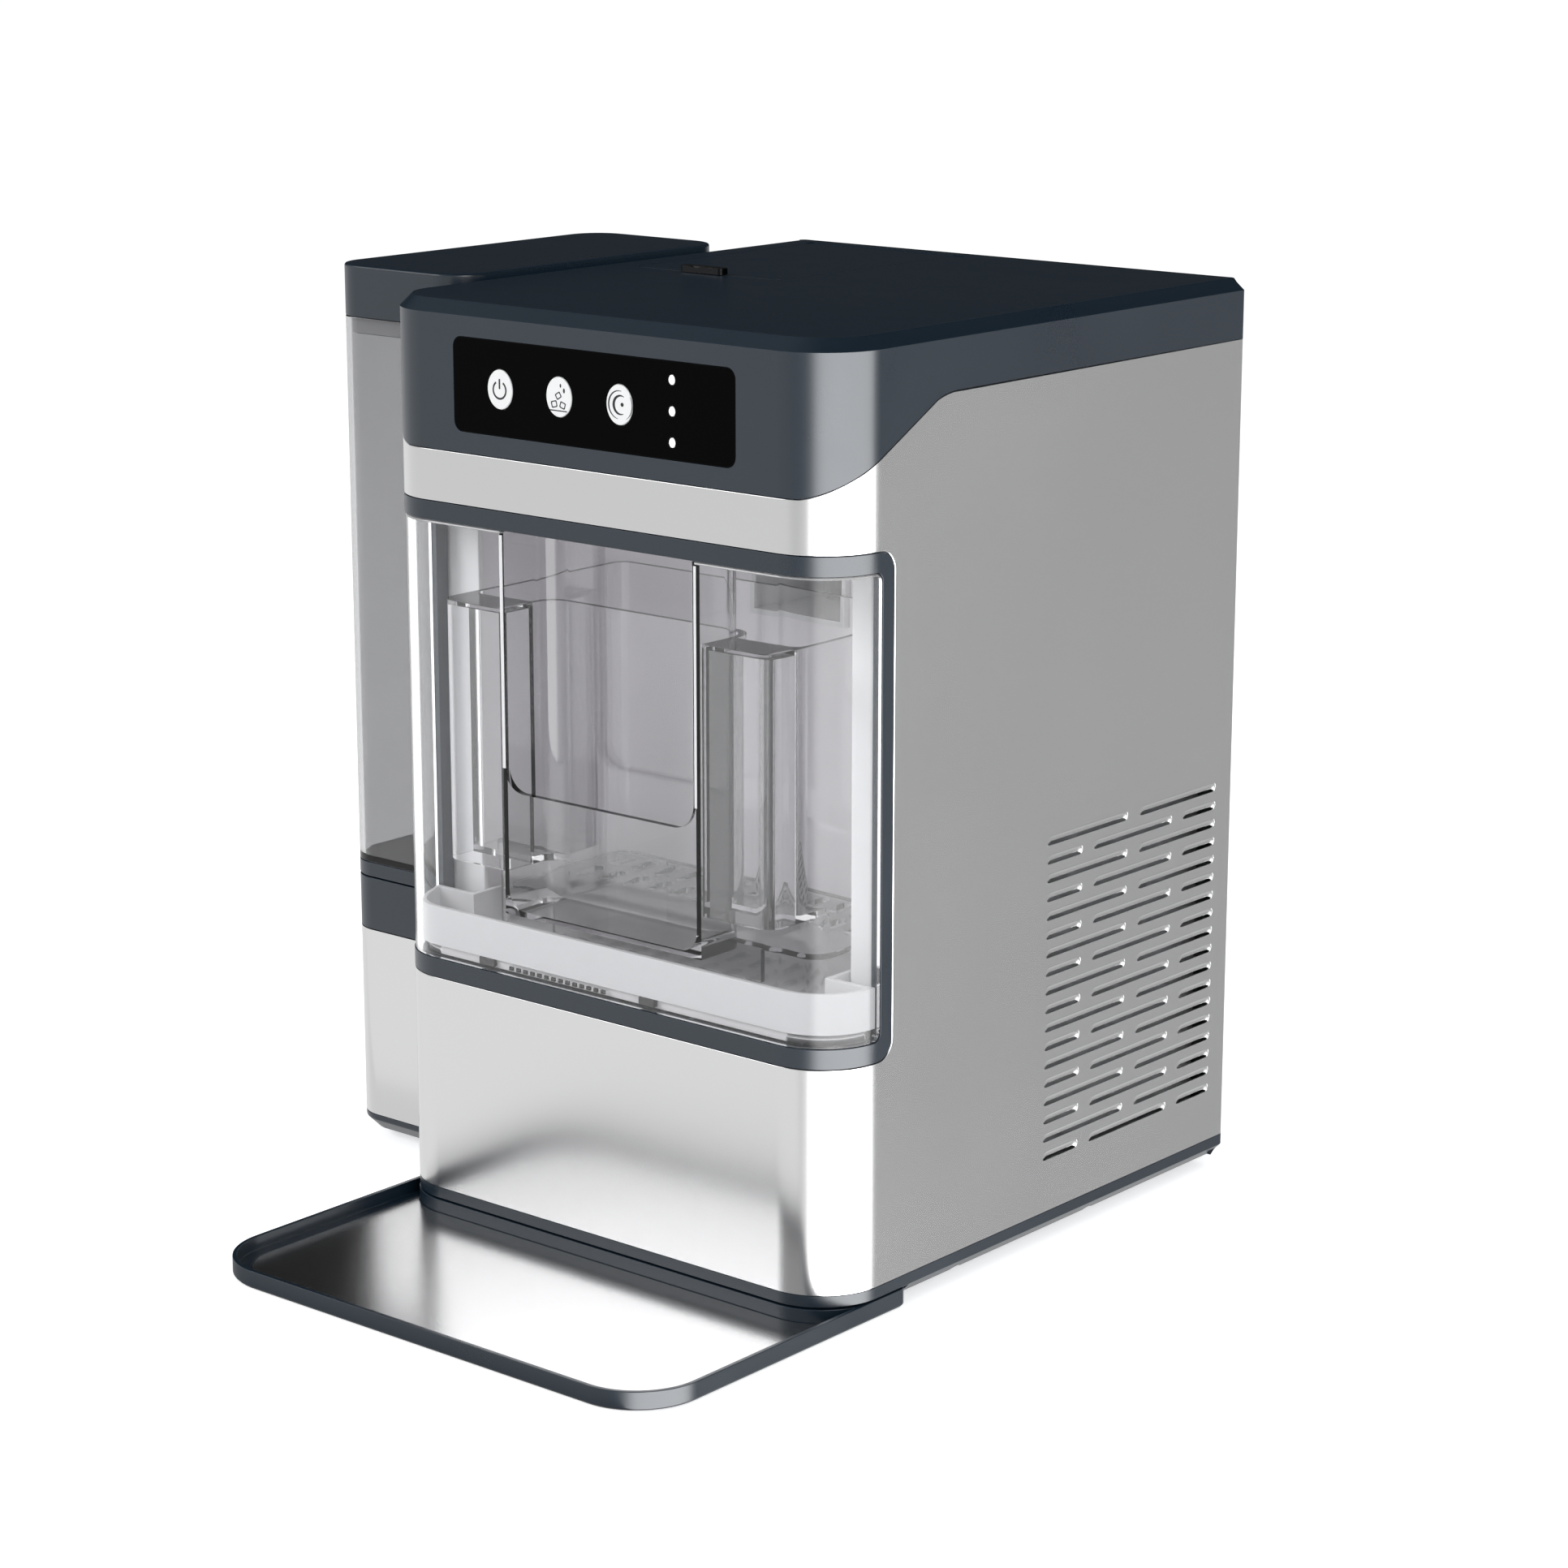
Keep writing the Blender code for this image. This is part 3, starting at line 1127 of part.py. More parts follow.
def make_dock():
    """The stand below the tank: a dark dock with a spigot, a silver pedestal and a dark foot."""
    dock = slab("tank_dock", "Z", [tank_outline(0)], DOCK_LOW + GAP, COLLAR_LOW - GAP, "dark")
    cut(
        dock,
        slab("dock_hollow", "Z", [tank_outline(DOCK_WALL)], DOCK_LOW + GAP + DOCK_FLOOR,
             COLLAR_LOW + OVERRUN),
    )
    floor_middle = DOCK_LOW + DOCK_FLOOR / 2
    join(dock, rod("dock_spigot", "Z", (TANK_X, TANK_Y), DOCK_SPIGOT_RADIUS, floor_middle, DOCK_SPIGOT_HIGH))
    cut(dock, rod("dock_bore", "Z", (TANK_X, TANK_Y), DOCK_BORE_RADIUS, DOCK_LOW + DOCK_FLOOR + GAP,
                  DOCK_SPIGOT_HIGH + OVERRUN))
    join(dock, rod("dock_post", "Z", (TANK_X, TANK_Y), DOCK_POST_RADIUS, floor_middle, DOCK_POST_HIGH))
    drain = (TANK_X, TANK_Y - (DOCK_BORE_RADIUS + DOCK_POST_RADIUS) / 2)
    cut(dock, rod("dock_drain", "Z", drain, PIPE_RADIUS / 2, DOCK_LOW - OVERRUN, DOCK_LOW + OVERRUN))
    pedestal = slab("pedestal", "Z", [tank_outline(0), tank_outline(PEDESTAL_WALL)[::-1]],
                    PEDESTAL_LOW, DOCK_LOW, "steel")
    cut(
        pedestal,
        block(
            "pedestal_window",
            (TANK_RIGHT - OVERRUN, BRACKET_FRONT - GAP, BRACKET_LOW - GAP),
            (TANK_RIGHT + OVERRUN, BRACKET_REAR + GAP, BRACKET_HIGH + GAP),
        ),
        rod("pedestal_pipe_window", "X", (PIPE_RISER_Y, PIPE_LOW), PIPE_RADIUS + PIPE_HOLE_CLEARANCE,
            TANK_RIGHT - OVERRUN, TANK_RIGHT + OVERRUN),
    )
    shape = chamfer(slab_mesh("Z", [tank_outline(0)], BASE_LOW, PEDESTAL_LOW - GAP), BASE_LOW,
                    PEDESTAL_FOOT_CHAMFER)
    foot = solid("pedestal_foot", shape, "dark", None, BEVEL_DEGREES)
    cut(foot, slab("foot_hollow", "Z", [tank_outline(PEDESTAL_FOOT_CHAMFER + PEDESTAL_WALL)],
                   BASE_LOW + PEDESTAL_FOOT_FLOOR, PEDESTAL_LOW + OVERRUN))
    for name, y in (("front", TANK_FRONT + PAD_INSET), ("rear", TANK_REAR - PAD_INSET)):
        rod(f"pedestal_pad_{name}", "Z", (TANK_X, y), PAD_RADIUS, 0, FEET_HIGH, "rubber")
    left = TANK_RIGHT - PEDESTAL_WALL - BRACKET_REACH
    right = -HALF_WIDTH + STEEL_WALL + BRACKET_REACH
    bracket = block("dock_bracket", (left, BRACKET_FRONT, BRACKET_LOW), (right, BRACKET_REAR, BRACKET_HIGH),
                    "dark")
    cut(bracket, block("bracket_hollow",
                       (left - OVERRUN, BRACKET_FRONT + BRACKET_WALL, BRACKET_LOW + BRACKET_WALL),
                       (right + OVERRUN, BRACKET_REAR - BRACKET_WALL, BRACKET_HIGH - BRACKET_WALL)))


def make_feed_pipe():
    """The water pipe from below the dock, through both walls and up to the reservoir."""
    drain_y = TANK_Y - (DOCK_BORE_RADIUS + DOCK_POST_RADIUS) / 2
    corners = [
        Vector((TANK_X, drain_y, DOCK_LOW)),
        Vector((TANK_X, drain_y, PIPE_LOW)),
        Vector((TANK_X + 4 * PIPE_RADIUS, PIPE_RISER_Y, PIPE_LOW)),
        Vector((PIPE_RISER_X, PIPE_RISER_Y, PIPE_LOW)),
        Vector((PIPE_RISER_X, PIPE_RISER_Y, RESERVOIR_LOW - GAP)),
    ]
    bend = 2 * PIPE_RADIUS
    route = [corners[0]]
    for before, corner, after in zip(corners, corners[1:], corners[2:]):
        start = corner + (before - corner).normalized() * bend
        end = corner + (after - corner).normalized() * bend
        for step in range(PIPE_BEND_STEPS + 1):
            share = step / PIPE_BEND_STEPS
            route.append(start * (1 - share) ** 2 + corner * 2 * share * (1 - share) + end * share ** 2)
    route.append(corners[-1])
    curve = bpy.data.curves.new("feed_pipe", "CURVE")
    curve.dimensions = "3D"
    curve.bevel_depth = PIPE_RADIUS
    curve.bevel_resolution = 2
    curve.use_fill_caps = True
    spline = curve.splines.new("POLY")
    spline.points.add(len(route) - 1)
    for point, place in zip(spline.points, route):
        point.co = (*place, 1)
    solid("feed_pipe", curve_to_mesh(curve), "white", None, WALL_DEGREES)


def make_rear():
    """The rear panel with its air slots, the appliance inlet, the drain cap and four screws."""
    side = HALF_WIDTH - REAR_RADIUS
    outline = rounded(-side, STEEL_LOW, side, COVER_SIDE_LOW - GAP, 0)
    slots = []
    for row in range(REAR_VENT_ROWS):
        for column in range(REAR_VENT_COLUMNS):
            middle = (column - (REAR_VENT_COLUMNS - 1) / 2) * REAR_VENT_STEP
            low = REAR_VENT_LOW + row * REAR_VENT_PITCH
            slots.append(rounded(middle - REAR_VENT_WIDTH / 2, low, middle + REAR_VENT_WIDTH / 2,
                                 low + REAR_VENT_HEIGHT, 0)[::-1])
    half_width, half_height = INLET_WIDTH / 2 + GAP, INLET_HEIGHT / 2 + GAP
    slots.append(rounded(INLET_X - half_width, INLET_Z - half_height, INLET_X + half_width,
                         INLET_Z + half_height, INLET_RADIUS)[::-1])
    slots.append(oval(DRAIN_X, DRAIN_Z, 2 * (DRAIN_RADIUS + GAP), 2 * (DRAIN_RADIUS + GAP))[::-1])
    screw_x = HALF_WIDTH - SCREW_INSET_X
    screws = [(x, z) for x in (-screw_x, screw_x) for z in (SCREW_LOW, SCREW_HIGH)]
    for x, z in screws:
        hole = 2 * (SCREW_RADIUS + GAP)
        slots.append(oval(x, z, hole, hole)[::-1])
    slab("rear_panel", "Y", [outline] + slots, REAR_PANEL_INNER, REAR_PANEL_FACE, "steel")
    head_face = REAR_PANEL_FACE + GAP + SCREW_HEAD
    for index, (x, z) in enumerate(screws):
        screw = rod(f"rear_screw_{index + 1}", "Y", (x, z), SCREW_HEAD_RADIUS, REAR_PANEL_FACE + GAP,
                    head_face, "chrome")
        join(screw, rod(f"screw_shank_{index}", "Y", (x, z), SCREW_RADIUS, head_face - SCREW_LENGTH,
                        head_face - SCREW_HEAD / 2))
    margin = INLET_FLANGE_MARGIN
    half_width, half_height = INLET_WIDTH / 2, INLET_HEIGHT / 2
    flange = rounded(INLET_X - half_width - margin, INLET_Z - half_height - INLET_FLANGE,
                     INLET_X + half_width + margin, INLET_Z + half_height + INLET_FLANGE, INLET_RADIUS)
    face = REAR_PANEL_FACE + GAP
    inlet = slab("power_inlet", "Y", [flange], face, face + INLET_FLANGE, "black")
    body = rounded(INLET_X - half_width, INLET_Z - half_height, INLET_X + half_width,
                   INLET_Z + half_height, INLET_RADIUS)
    join(inlet, slab("inlet_body", "Y", [body], face - INLET_DEPTH, face + INLET_FLANGE / 2))
    wall = INLET_WALL
    socket = rounded(INLET_X - half_width + wall, INLET_Z - half_height + wall,
                     INLET_X + half_width - wall, INLET_Z + half_height - wall, INLET_RADIUS - wall / 2)
    cut(inlet, slab("inlet_socket", "Y", [socket], face - INLET_DEPTH + wall, BODY_DEPTH + OVERRUN))
    for index in (-1, 0, 1):
        x = INLET_X + index * INLET_PIN_SPREAD
        z = INLET_Z + (INLET_PIN_HEIGHT / 2 if index == 0 else -INLET_PIN_HEIGHT / 2)
        low = face - INLET_DEPTH + wall / 2
        join(inlet, block(f"inlet_pin_{index + 2}",
                          (x - INLET_PIN_WIDTH / 2, low, z - INLET_PIN_HEIGHT / 2),
                          (x + INLET_PIN_WIDTH / 2, low + INLET_PIN_REACH, z + INLET_PIN_HEIGHT / 2)))
    drain = rod("drain_cap", "Y", (DRAIN_X, DRAIN_Z), DRAIN_CAP_RADIUS, face, face + DRAIN_CAP_WALL, "rubber")
    join(drain, rod("drain_plug", "Y", (DRAIN_X, DRAIN_Z), DRAIN_RADIUS, face - DRAIN_CAP_DEPTH,
                    face + DRAIN_CAP_WALL / 2))


def make_auger():
    """The auger: a core with a helical flight, and its shaft down into the gearbox."""
    carrier = new_empty("auger_axis", (BARREL_X, BARREL_Y, BARREL_LOW), ROOT)
    low = BARREL_LOW + BARREL_FLANGE + AUGER_END_CLEARANCE
    high = BARREL_HIGH - AUGER_END_CLEARANCE
    auger = rod("auger", "Z", (BARREL_X, BARREL_Y), AUGER_CORE, low, high, "steel", carrier)
    curve = bpy.data.curves.new("flight", "CURVE")
    curve.dimensions = "3D"
    curve.bevel_depth = AUGER_FLIGHT_WIRE
    curve.bevel_resolution = 1
    curve.use_fill_caps = True
    count = AUGER_TURNS * AUGER_STEPS
    spline = curve.splines.new("POLY")
    spline.points.add(count)
    start = low + 2 * AUGER_FLIGHT_WIRE
    rise = (high - low - 4 * AUGER_FLIGHT_WIRE) / count
    reach = AUGER_FLIGHT_RADIUS - AUGER_FLIGHT_WIRE
    for step, point in enumerate(spline.points):
        angle = 2 * math.pi * step / AUGER_STEPS
        point.co = (BARREL_X + reach * math.cos(angle), BARREL_Y + reach * math.sin(angle),
                    start + rise * step, 1)
    shaft = rod("auger_shaft", "Z", (BARREL_X, BARREL_Y), AUGER_SHAFT,
                BARREL_LOW - GEARBOX_BORE_DEPTH + AUGER_END_CLEARANCE, low + AUGER_END_CLEARANCE)
    join(auger, solid("auger_flight", curve_to_mesh(curve)), shaft)


def make_ice_maker():
    """The evaporator barrel with its gearbox, motor and stand, and the chute to the cabinet."""
    place = (BARREL_X, BARREL_Y)
    barrel = rod("evaporator_barrel", "Z", place, BARREL_RADIUS, BARREL_LOW + GAP, BARREL_HIGH, "aluminium")
    join(barrel, rod("barrel_flange", "Z", place, BARREL_FLANGE_RADIUS, BARREL_LOW + GAP,
                     BARREL_LOW + BARREL_FLANGE))
    cut(
        barrel,
        rod("barrel_bore", "Z", place, BARREL_BORE, BARREL_LOW + BARREL_FLANGE, BARREL_HIGH + OVERRUN),
        rod("shaft_hole", "Z", place, GEARBOX_BORE, BARREL_LOW - OVERRUN, BARREL_HIGH),
        block("barrel_outlet",
              (BARREL_X - CHUTE_HALF_WIDTH / 2, BARREL_Y - BARREL_RADIUS - OVERRUN, CHUTE_LOW),
              (BARREL_X + CHUTE_HALF_WIDTH / 2, BARREL_Y, CHUTE_LOW + CHUTE_HEIGHT)),
    )
    make_auger()
    half, wall = CHUTE_HALF_WIDTH, CHUTE_WALL
    front = LINER_REAR - CHUTE_LIP
    rear = BARREL_Y - math.sqrt(BARREL_RADIUS ** 2 - CHUTE_HALF_WIDTH ** 2)
    outer = rounded(BARREL_X - half - wall, CHUTE_LOW - wall, BARREL_X + half + wall,
                    CHUTE_LOW + CHUTE_HEIGHT + wall, 0)
    inner = rounded(BARREL_X - half, CHUTE_LOW, BARREL_X + half, CHUTE_LOW + CHUTE_HEIGHT, 0)
    chute = slab("ice_chute", "Y", [outer, inner[::-1]], front, rear, "white")
    cut(chute, rod("chute_seat", "Z", place, BARREL_RADIUS + GAP, CHUTE_LOW - OVERRUN, BARREL_HIGH + OVERRUN))
    top = BARREL_LOW
    low = top - GEARBOX_HEIGHT
    half = GEARBOX_HALF
    gearbox = slab(
        "gearbox", "Z",
        [rounded(BARREL_X - half, BARREL_Y - half, BARREL_X + half, BARREL_Y + half, GEARBOX_RADIUS)],
        low, top, "aluminium",
    )
    cut(gearbox, rod("gearbox_bore", "Z", place, GEARBOX_BORE, top - GEARBOX_BORE_DEPTH, top + OVERRUN))
    plate_high = low - GAP
    plate_low = plate_high - STAND_PLATE
    stand = block("gearbox_stand", (BARREL_X - half, BARREL_Y - half, PAN_FLOOR + GAP),
                  (BARREL_X + half, BARREL_Y + half, plate_high), "aluminium")
    cut(
        stand,
        block("stand_hollow", (BARREL_X - half + STAND_WALL, BARREL_Y - half - OVERRUN, 0),
              (BARREL_X + half - STAND_WALL, BARREL_Y + half + OVERRUN, plate_low)),
        rod("stand_hole", "Z", place, MOTOR_RADIUS + GAP, plate_low - OVERRUN, plate_high + OVERRUN),
    )
    rod("gear_motor", "Z", place, MOTOR_RADIUS, low - GAP - MOTOR_LENGTH, low - GAP, "enamel")


def make_cooling():
    """The compressor, the finned condenser, the shroud that carries the fan, and the fan."""
    place = (COMPRESSOR_X, COMPRESSOR_Y)
    low = PAN_FLOOR + GAP
    ledge = TRAY_NOTCH_HIGH + BASE_FLOOR + GAP
    shoulder = COMPRESSOR_HIGH - COMPRESSOR_DOME
    compressor = rod("compressor", "Z", place, COMPRESSOR_FLANGE_RADIUS, low, low + COMPRESSOR_FLANGE,
                     "enamel")
    join(
        compressor,
        rod("compressor_shell", "Z", place, COMPRESSOR_RADIUS, low + COMPRESSOR_FLANGE / 2, shoulder),
        rod("compressor_dome", "Z", place, COMPRESSOR_RADIUS, shoulder - GAP, COMPRESSOR_HIGH,
            end_radius=COMPRESSOR_RADIUS - COMPRESSOR_DOME),
    )
    spine = CONDENSER_RIGHT - CONDENSER_SPINE
    outline = [(CONDENSER_RIGHT, CONDENSER_FRONT), (CONDENSER_RIGHT, CONDENSER_REAR)]
    pitch = (CONDENSER_REAR - CONDENSER_FRONT - CONDENSER_FIN) / (CONDENSER_FINS - 1)
    for index in range(CONDENSER_FINS):
        fin_rear = CONDENSER_REAR - index * pitch
        fin_front = fin_rear - CONDENSER_FIN
        if index:
            outline.append((spine, fin_rear))
        outline += [(CONDENSER_LEFT, fin_rear), (CONDENSER_LEFT, fin_front)]
        if index < CONDENSER_FINS - 1:
            outline.append((spine, fin_front))
    slab("condenser", "Z", [outline], ledge, CONDENSER_HIGH, "aluminium")
    middle_y = (CONDENSER_FRONT + CONDENSER_REAR) / 2
    middle_z = (ledge + CONDENSER_HIGH) / 2
    shroud_right = CONDENSER_LEFT - GAP
    shroud_left = shroud_right - SHROUD_WALL
    frame = rounded(CONDENSER_FRONT, ledge, CONDENSER_REAR, CONDENSER_HIGH, 0)
    hole = oval(middle_y, middle_z, 2 * SHROUD_HOLE, 2 * SHROUD_HOLE)[::-1]
    shroud = slab("fan_shroud", "X", [frame, hole], shroud_left, shroud_right, "dark")
    stub_low = shroud_left - SHROUD_STUB_LENGTH
    join(
        shroud,
        block("shroud_arm", (shroud_left, middle_y - SHROUD_HOLE - SHROUD_ARM, middle_z - SHROUD_ARM / 2),
              (shroud_right, middle_y + SHROUD_HOLE + SHROUD_ARM, middle_z + SHROUD_ARM / 2)),
        rod("shroud_hub", "X", (middle_y, middle_z), SHROUD_HUB, shroud_left, shroud_right),
        rod("shroud_stub", "X", (middle_y, middle_z), SHROUD_STUB, stub_low, shroud_left + SHROUD_WALL / 2),
    )
    fan_right = shroud_left - 2 * GAP
    fan_left = fan_right - FAN_DEPTH
    middle_x = (fan_left + fan_right) / 2
    carrier = new_empty("fan_axis", (middle_x, middle_y, middle_z), ROOT)
    fan = rod("condenser_fan", "X", (middle_y, middle_z), FAN_HUB, fan_left, fan_right, "dark", carrier)
    for index in range(FAN_BLADES):
        blade = block_mesh((-FAN_BLADE_WALL / 2, -FAN_BLADE_WIDTH / 2, FAN_HUB / 2),
                           (FAN_BLADE_WALL / 2, FAN_BLADE_WIDTH / 2, FAN_RADIUS))
        blade.transform(Matrix.Rotation(math.radians(90 - FAN_PITCH_DEGREES), 4, "Z"))
        blade.transform(Matrix.Rotation(2 * math.pi * index / FAN_BLADES, 4, "X"))
        blade.transform(Matrix.Translation((middle_x, middle_y, middle_z)))
        join(fan, solid(f"fan_blade_{index + 1}", blade))
    cut(fan, rod("fan_bore", "X", (middle_y, middle_z), FAN_BORE, fan_left + FAN_BLADE_WALL,
                 fan_right + OVERRUN))


def make_water():
    """The open reservoir below the lid and the pump below it."""
    outline = (RESERVOIR_LEFT, RESERVOIR_FRONT, RESERVOIR_RIGHT, RESERVOIR_REAR, RESERVOIR_RADIUS)
    reservoir = slab("reservoir", "Z", [inset_outline(*outline, 0)], RESERVOIR_LOW, COVER_UNDERSIDE - GAP,
                     "white")
    cut(reservoir, slab("reservoir_hollow", "Z", [inset_outline(*outline, RESERVOIR_WALL)],
                        RESERVOIR_LOW + RESERVOIR_WALL, BODY_TOP))
    rod("water_pump", "Z", (PUMP_X, PUMP_Y), PUMP_RADIUS, RESERVOIR_LOW - GAP - PUMP_LENGTH,
        RESERVOIR_LOW - GAP, "enamel")


make_steel_wrap()
make_top_cover()
make_lid()
make_controls()
make_base()
make_tray()
make_window()
make_drawer()
make_tank()
make_dock()
make_feed_pipe()
make_rear()
make_ice_maker()
make_cooling()
make_water()
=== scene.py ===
import collections
import contextlib
import math

import bmesh
import bpy
from mathutils import Matrix, Vector


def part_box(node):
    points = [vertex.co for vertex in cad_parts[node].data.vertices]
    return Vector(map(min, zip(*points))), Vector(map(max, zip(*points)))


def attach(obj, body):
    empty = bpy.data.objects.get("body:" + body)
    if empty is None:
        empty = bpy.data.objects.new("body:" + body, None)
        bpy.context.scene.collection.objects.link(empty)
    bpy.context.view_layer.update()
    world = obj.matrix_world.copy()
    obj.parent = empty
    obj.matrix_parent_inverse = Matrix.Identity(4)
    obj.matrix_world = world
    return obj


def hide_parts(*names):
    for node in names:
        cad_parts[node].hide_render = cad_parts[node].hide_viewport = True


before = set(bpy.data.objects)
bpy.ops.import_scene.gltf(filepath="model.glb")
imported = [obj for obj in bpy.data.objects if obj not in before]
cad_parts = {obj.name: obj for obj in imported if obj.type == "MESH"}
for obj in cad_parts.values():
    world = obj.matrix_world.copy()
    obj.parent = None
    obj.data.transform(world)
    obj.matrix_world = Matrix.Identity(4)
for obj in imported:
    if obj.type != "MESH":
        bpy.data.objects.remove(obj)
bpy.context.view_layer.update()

# The studio. A white floor that takes the shadow, a white backdrop that only the camera and glass see, the
# sweeps and the ceiling that shine in the steel, and soft lamps. Nothing here is part of the ice maker.
scene = bpy.context.scene
scene.view_settings.view_transform = "Standard"


def stand(name, data):
    """A new object in the scene."""
    thing = bpy.data.objects.new(name, data)
    scene.collection.objects.link(thing)
    return thing


camera = bpy.data.cameras.new("photo_camera")
camera.lens = 90.5
camera.sensor_width = 36
camera.clip_end = 100
camera_stand = stand("photo_camera", camera)
camera_stand.location = (1.15145, -1.2844, 0.6223)
camera_stand.rotation_euler = (math.radians(76.09), 0, math.radians(40))
scene.camera = camera_stand


def feed(node, values):
    """Sets inputs of a node: each value is an output to link or a plain value."""
    for socket, value in values:
        if isinstance(value, bpy.types.NodeSocket):
            node.id_data.links.new(value, node.inputs[socket])
        else:
            node.inputs[socket].default_value = value


def wire(nodes, kind, values=(), settings=()):
    """Adds a node, with its inputs and its settings."""
    node = nodes.new("ShaderNode" + kind)
    for name, value in settings:
        setattr(node, name, value)
    feed(node, values)
    return node


def calc(operation, *values):
    """A sum over values, in the tree of those that are outputs of nodes."""
    tree = next(value.id_data for value in values if isinstance(value, bpy.types.NodeSocket))
    return wire(tree.nodes, "Math", enumerate(values), [("operation", operation)]).outputs[0]


def between(value, low, high, to_low=0.0, to_high=1.0):
    """A smooth step of a value between two bounds."""
    return wire(
        value.id_data.nodes, "MapRange",
        [("Value", value), ("From Min", low), ("From Max", high), ("To Min", to_low), ("To Max", to_high)],
        [("interpolation_type", "SMOOTHSTEP")],
    ).outputs["Result"]


world = bpy.data.worlds.new("studio")
scene.world = world
world.use_nodes = True
sky = world.node_tree.nodes
sky.clear()
ray = wire(sky, "LightPath").outputs
heading = wire(sky, "SeparateXYZ", [("Vector", wire(sky, "TexCoord").outputs["Generated"])]).outputs


def towards(bearing, low, high):
    """How far a ray heads to a compass bearing, in degrees from the front towards the right."""
    angle = math.radians(bearing)
    along = calc("MULTIPLY", heading["X"], math.sin(angle))
    along = calc("MULTIPLY_ADD", heading["Y"], -math.cos(angle), along)
    return between(along, low, high)


# What shines in steel and gloss: a bright sweep in front, a grey one at the right rear, a dark ceiling, and a
# broad softbox beside the camera with a clean edge at its right, which draws the band down every round corner.
sweep = 0.98
for bearing, low, high, change in ((140, 0.62, 0.92, -0.515), (-42, 0.55, 0.95, -0.14), (4, 0.9, 0.99, -0.22)):
    sweep = calc("MULTIPLY_ADD", towards(bearing, low, high), change, sweep)
round_about = calc("ARCTAN2", heading["X"], calc("MULTIPLY", heading["Y"], -1.0))
softbox = calc(
    "MULTIPLY",
    between(round_about, math.radians(15), math.radians(37)),
    between(round_about, math.radians(128), math.radians(120)),
)
sweep = calc("MULTIPLY_ADD", softbox, 7.2, sweep)
front_wall = calc("MULTIPLY", towards(-20, 0.05, 0.45), between(heading["Z"], 0.6, 0.2, 0.2, 0.66))
ceiling = calc("ADD", front_wall, 0.018)
upward = between(heading["Z"], -0.08, 0.08)
gloss_sky = calc("ADD", calc("MULTIPLY", upward, ceiling), calc("MULTIPLY", calc("SUBTRACT", 1.0, upward), sweep))
soft_light = wire(sky, "Background", [("Color", (0.96, 0.98, 1, 1)), ("Strength", 0.62)])
gloss_light = wire(sky, "Background", [("Strength", gloss_sky)])
backdrop = wire(sky, "Background", [("Color", (1, 1, 1, 1)), ("Strength", 1.0)])
with_gloss = wire(
    sky, "MixShader", [(0, ray["Is Glossy Ray"]), (1, soft_light.outputs[0]), (2, gloss_light.outputs[0])]
)
seen = calc("MAXIMUM", ray["Is Camera Ray"], ray["Is Transmission Ray"])
with_backdrop = wire(sky, "MixShader", [(0, seen), (1, with_gloss.outputs[0]), (2, backdrop.outputs[0])])
wire(sky, "OutputWorld", [("Surface", with_backdrop.outputs[0])])


def lamp(name, place, size, power):
    """A round lamp aimed at the middle of the ice maker."""
    light = bpy.data.lights.new(name, "AREA")
    light.shape = "DISK"
    light.size = size
    light.energy = power
    holder = stand(name, light)
    holder.location = place
    holder.rotation_euler = (Vector((0.0, 0.0, 0.2)) - Vector(place)).to_track_quat("-Z", "Y").to_euler()
    return holder


# The key lamp is two in one place: a weak one that steel mirrors, and a strong one that only lights.
key_place = (-1.6, -1.9, 1.7)
lamp("key_lamp", key_place, 1.4, 14)
dull_key_lamp = lamp("dull_key_lamp", key_place, 1.4, 28)
lamp("fill_lamp", (2.2, -1.2, 1.3), 1.6, 22)
rear_lamp = lamp("rear_lamp", (0.6, 2.2, 1.6), 1.4, 16)
dull_key_lamp.visible_glossy = rear_lamp.visible_glossy = False


def paper(name, low, high, level):
    """A flat sheet under the ice maker: (sheet, nodes of its empty paint)."""
    shape = bpy.data.meshes.new(name)
    shape.from_pydata([(*low, 0), (high[0], low[1], 0), (*high, 0), (low[0], high[1], 0)], [], [(0, 1, 2, 3)])
    paint = bpy.data.materials.new(name)
    paint.use_nodes = True
    paint.node_tree.nodes.clear()
    shape.materials.append(paint)
    sheet = stand(name, shape)
    sheet.location.z = level
    return sheet, paint.node_tree.nodes


floor, paint = paper("floor", (-30, -30), (30, 30), -0.0002)
ray = wire(paint, "LightPath").outputs
seen = calc("MAXIMUM", ray["Is Camera Ray"], calc("MAXIMUM", ray["Is Transmission Ray"], ray["Is Glossy Ray"]))
matt = wire(paint, "BsdfDiffuse", [("Color", (0.8, 0.8, 0.8, 1))])
glow = wire(paint, "Emission", [("Strength", calc("MULTIPLY", seen, 0.54))])
both = wire(paint, "AddShader", [(0, matt.outputs[0]), (1, glow.outputs[0])])
wire(paint, "OutputMaterial", [("Surface", both.outputs[0])])
floor.visible_glossy = False

# A grey card on the floor in front of the tray, which only the steel sees. Its glow is painted shade: it darkens
# towards the tray, so the steel mirrors a shadow round the tray.
card, paint = paper("card", (-0.9, -0.8), (0.16, -0.095), -0.0001)
spot = wire(paint, "SeparateXYZ", [("Vector", wire(paint, "TexCoord").outputs["Object"])]).outputs
beside = calc("MAXIMUM", calc("SUBTRACT", -0.087, spot["X"]), 0.0)
ahead = calc("MAXIMUM", calc("SUBTRACT", -0.204, spot["Y"]), 0.0)
away = calc("SQRT", calc("MULTIPLY_ADD", beside, beside, calc("MULTIPLY", ahead, ahead)))
# Painted shade: the card's glow falls off towards the tray's edge.
painted_shade_glow = wire(paint, "Emission", [("Strength", between(away, -0.03, 0.055, 0.12, 0.8))])
wire(paint, "OutputMaterial", [("Surface", painted_shade_glow.outputs[0])])
for sight in ("camera", "diffuse", "transmission", "volume_scatter", "shadow"):
    setattr(card, "visible_" + sight, False)

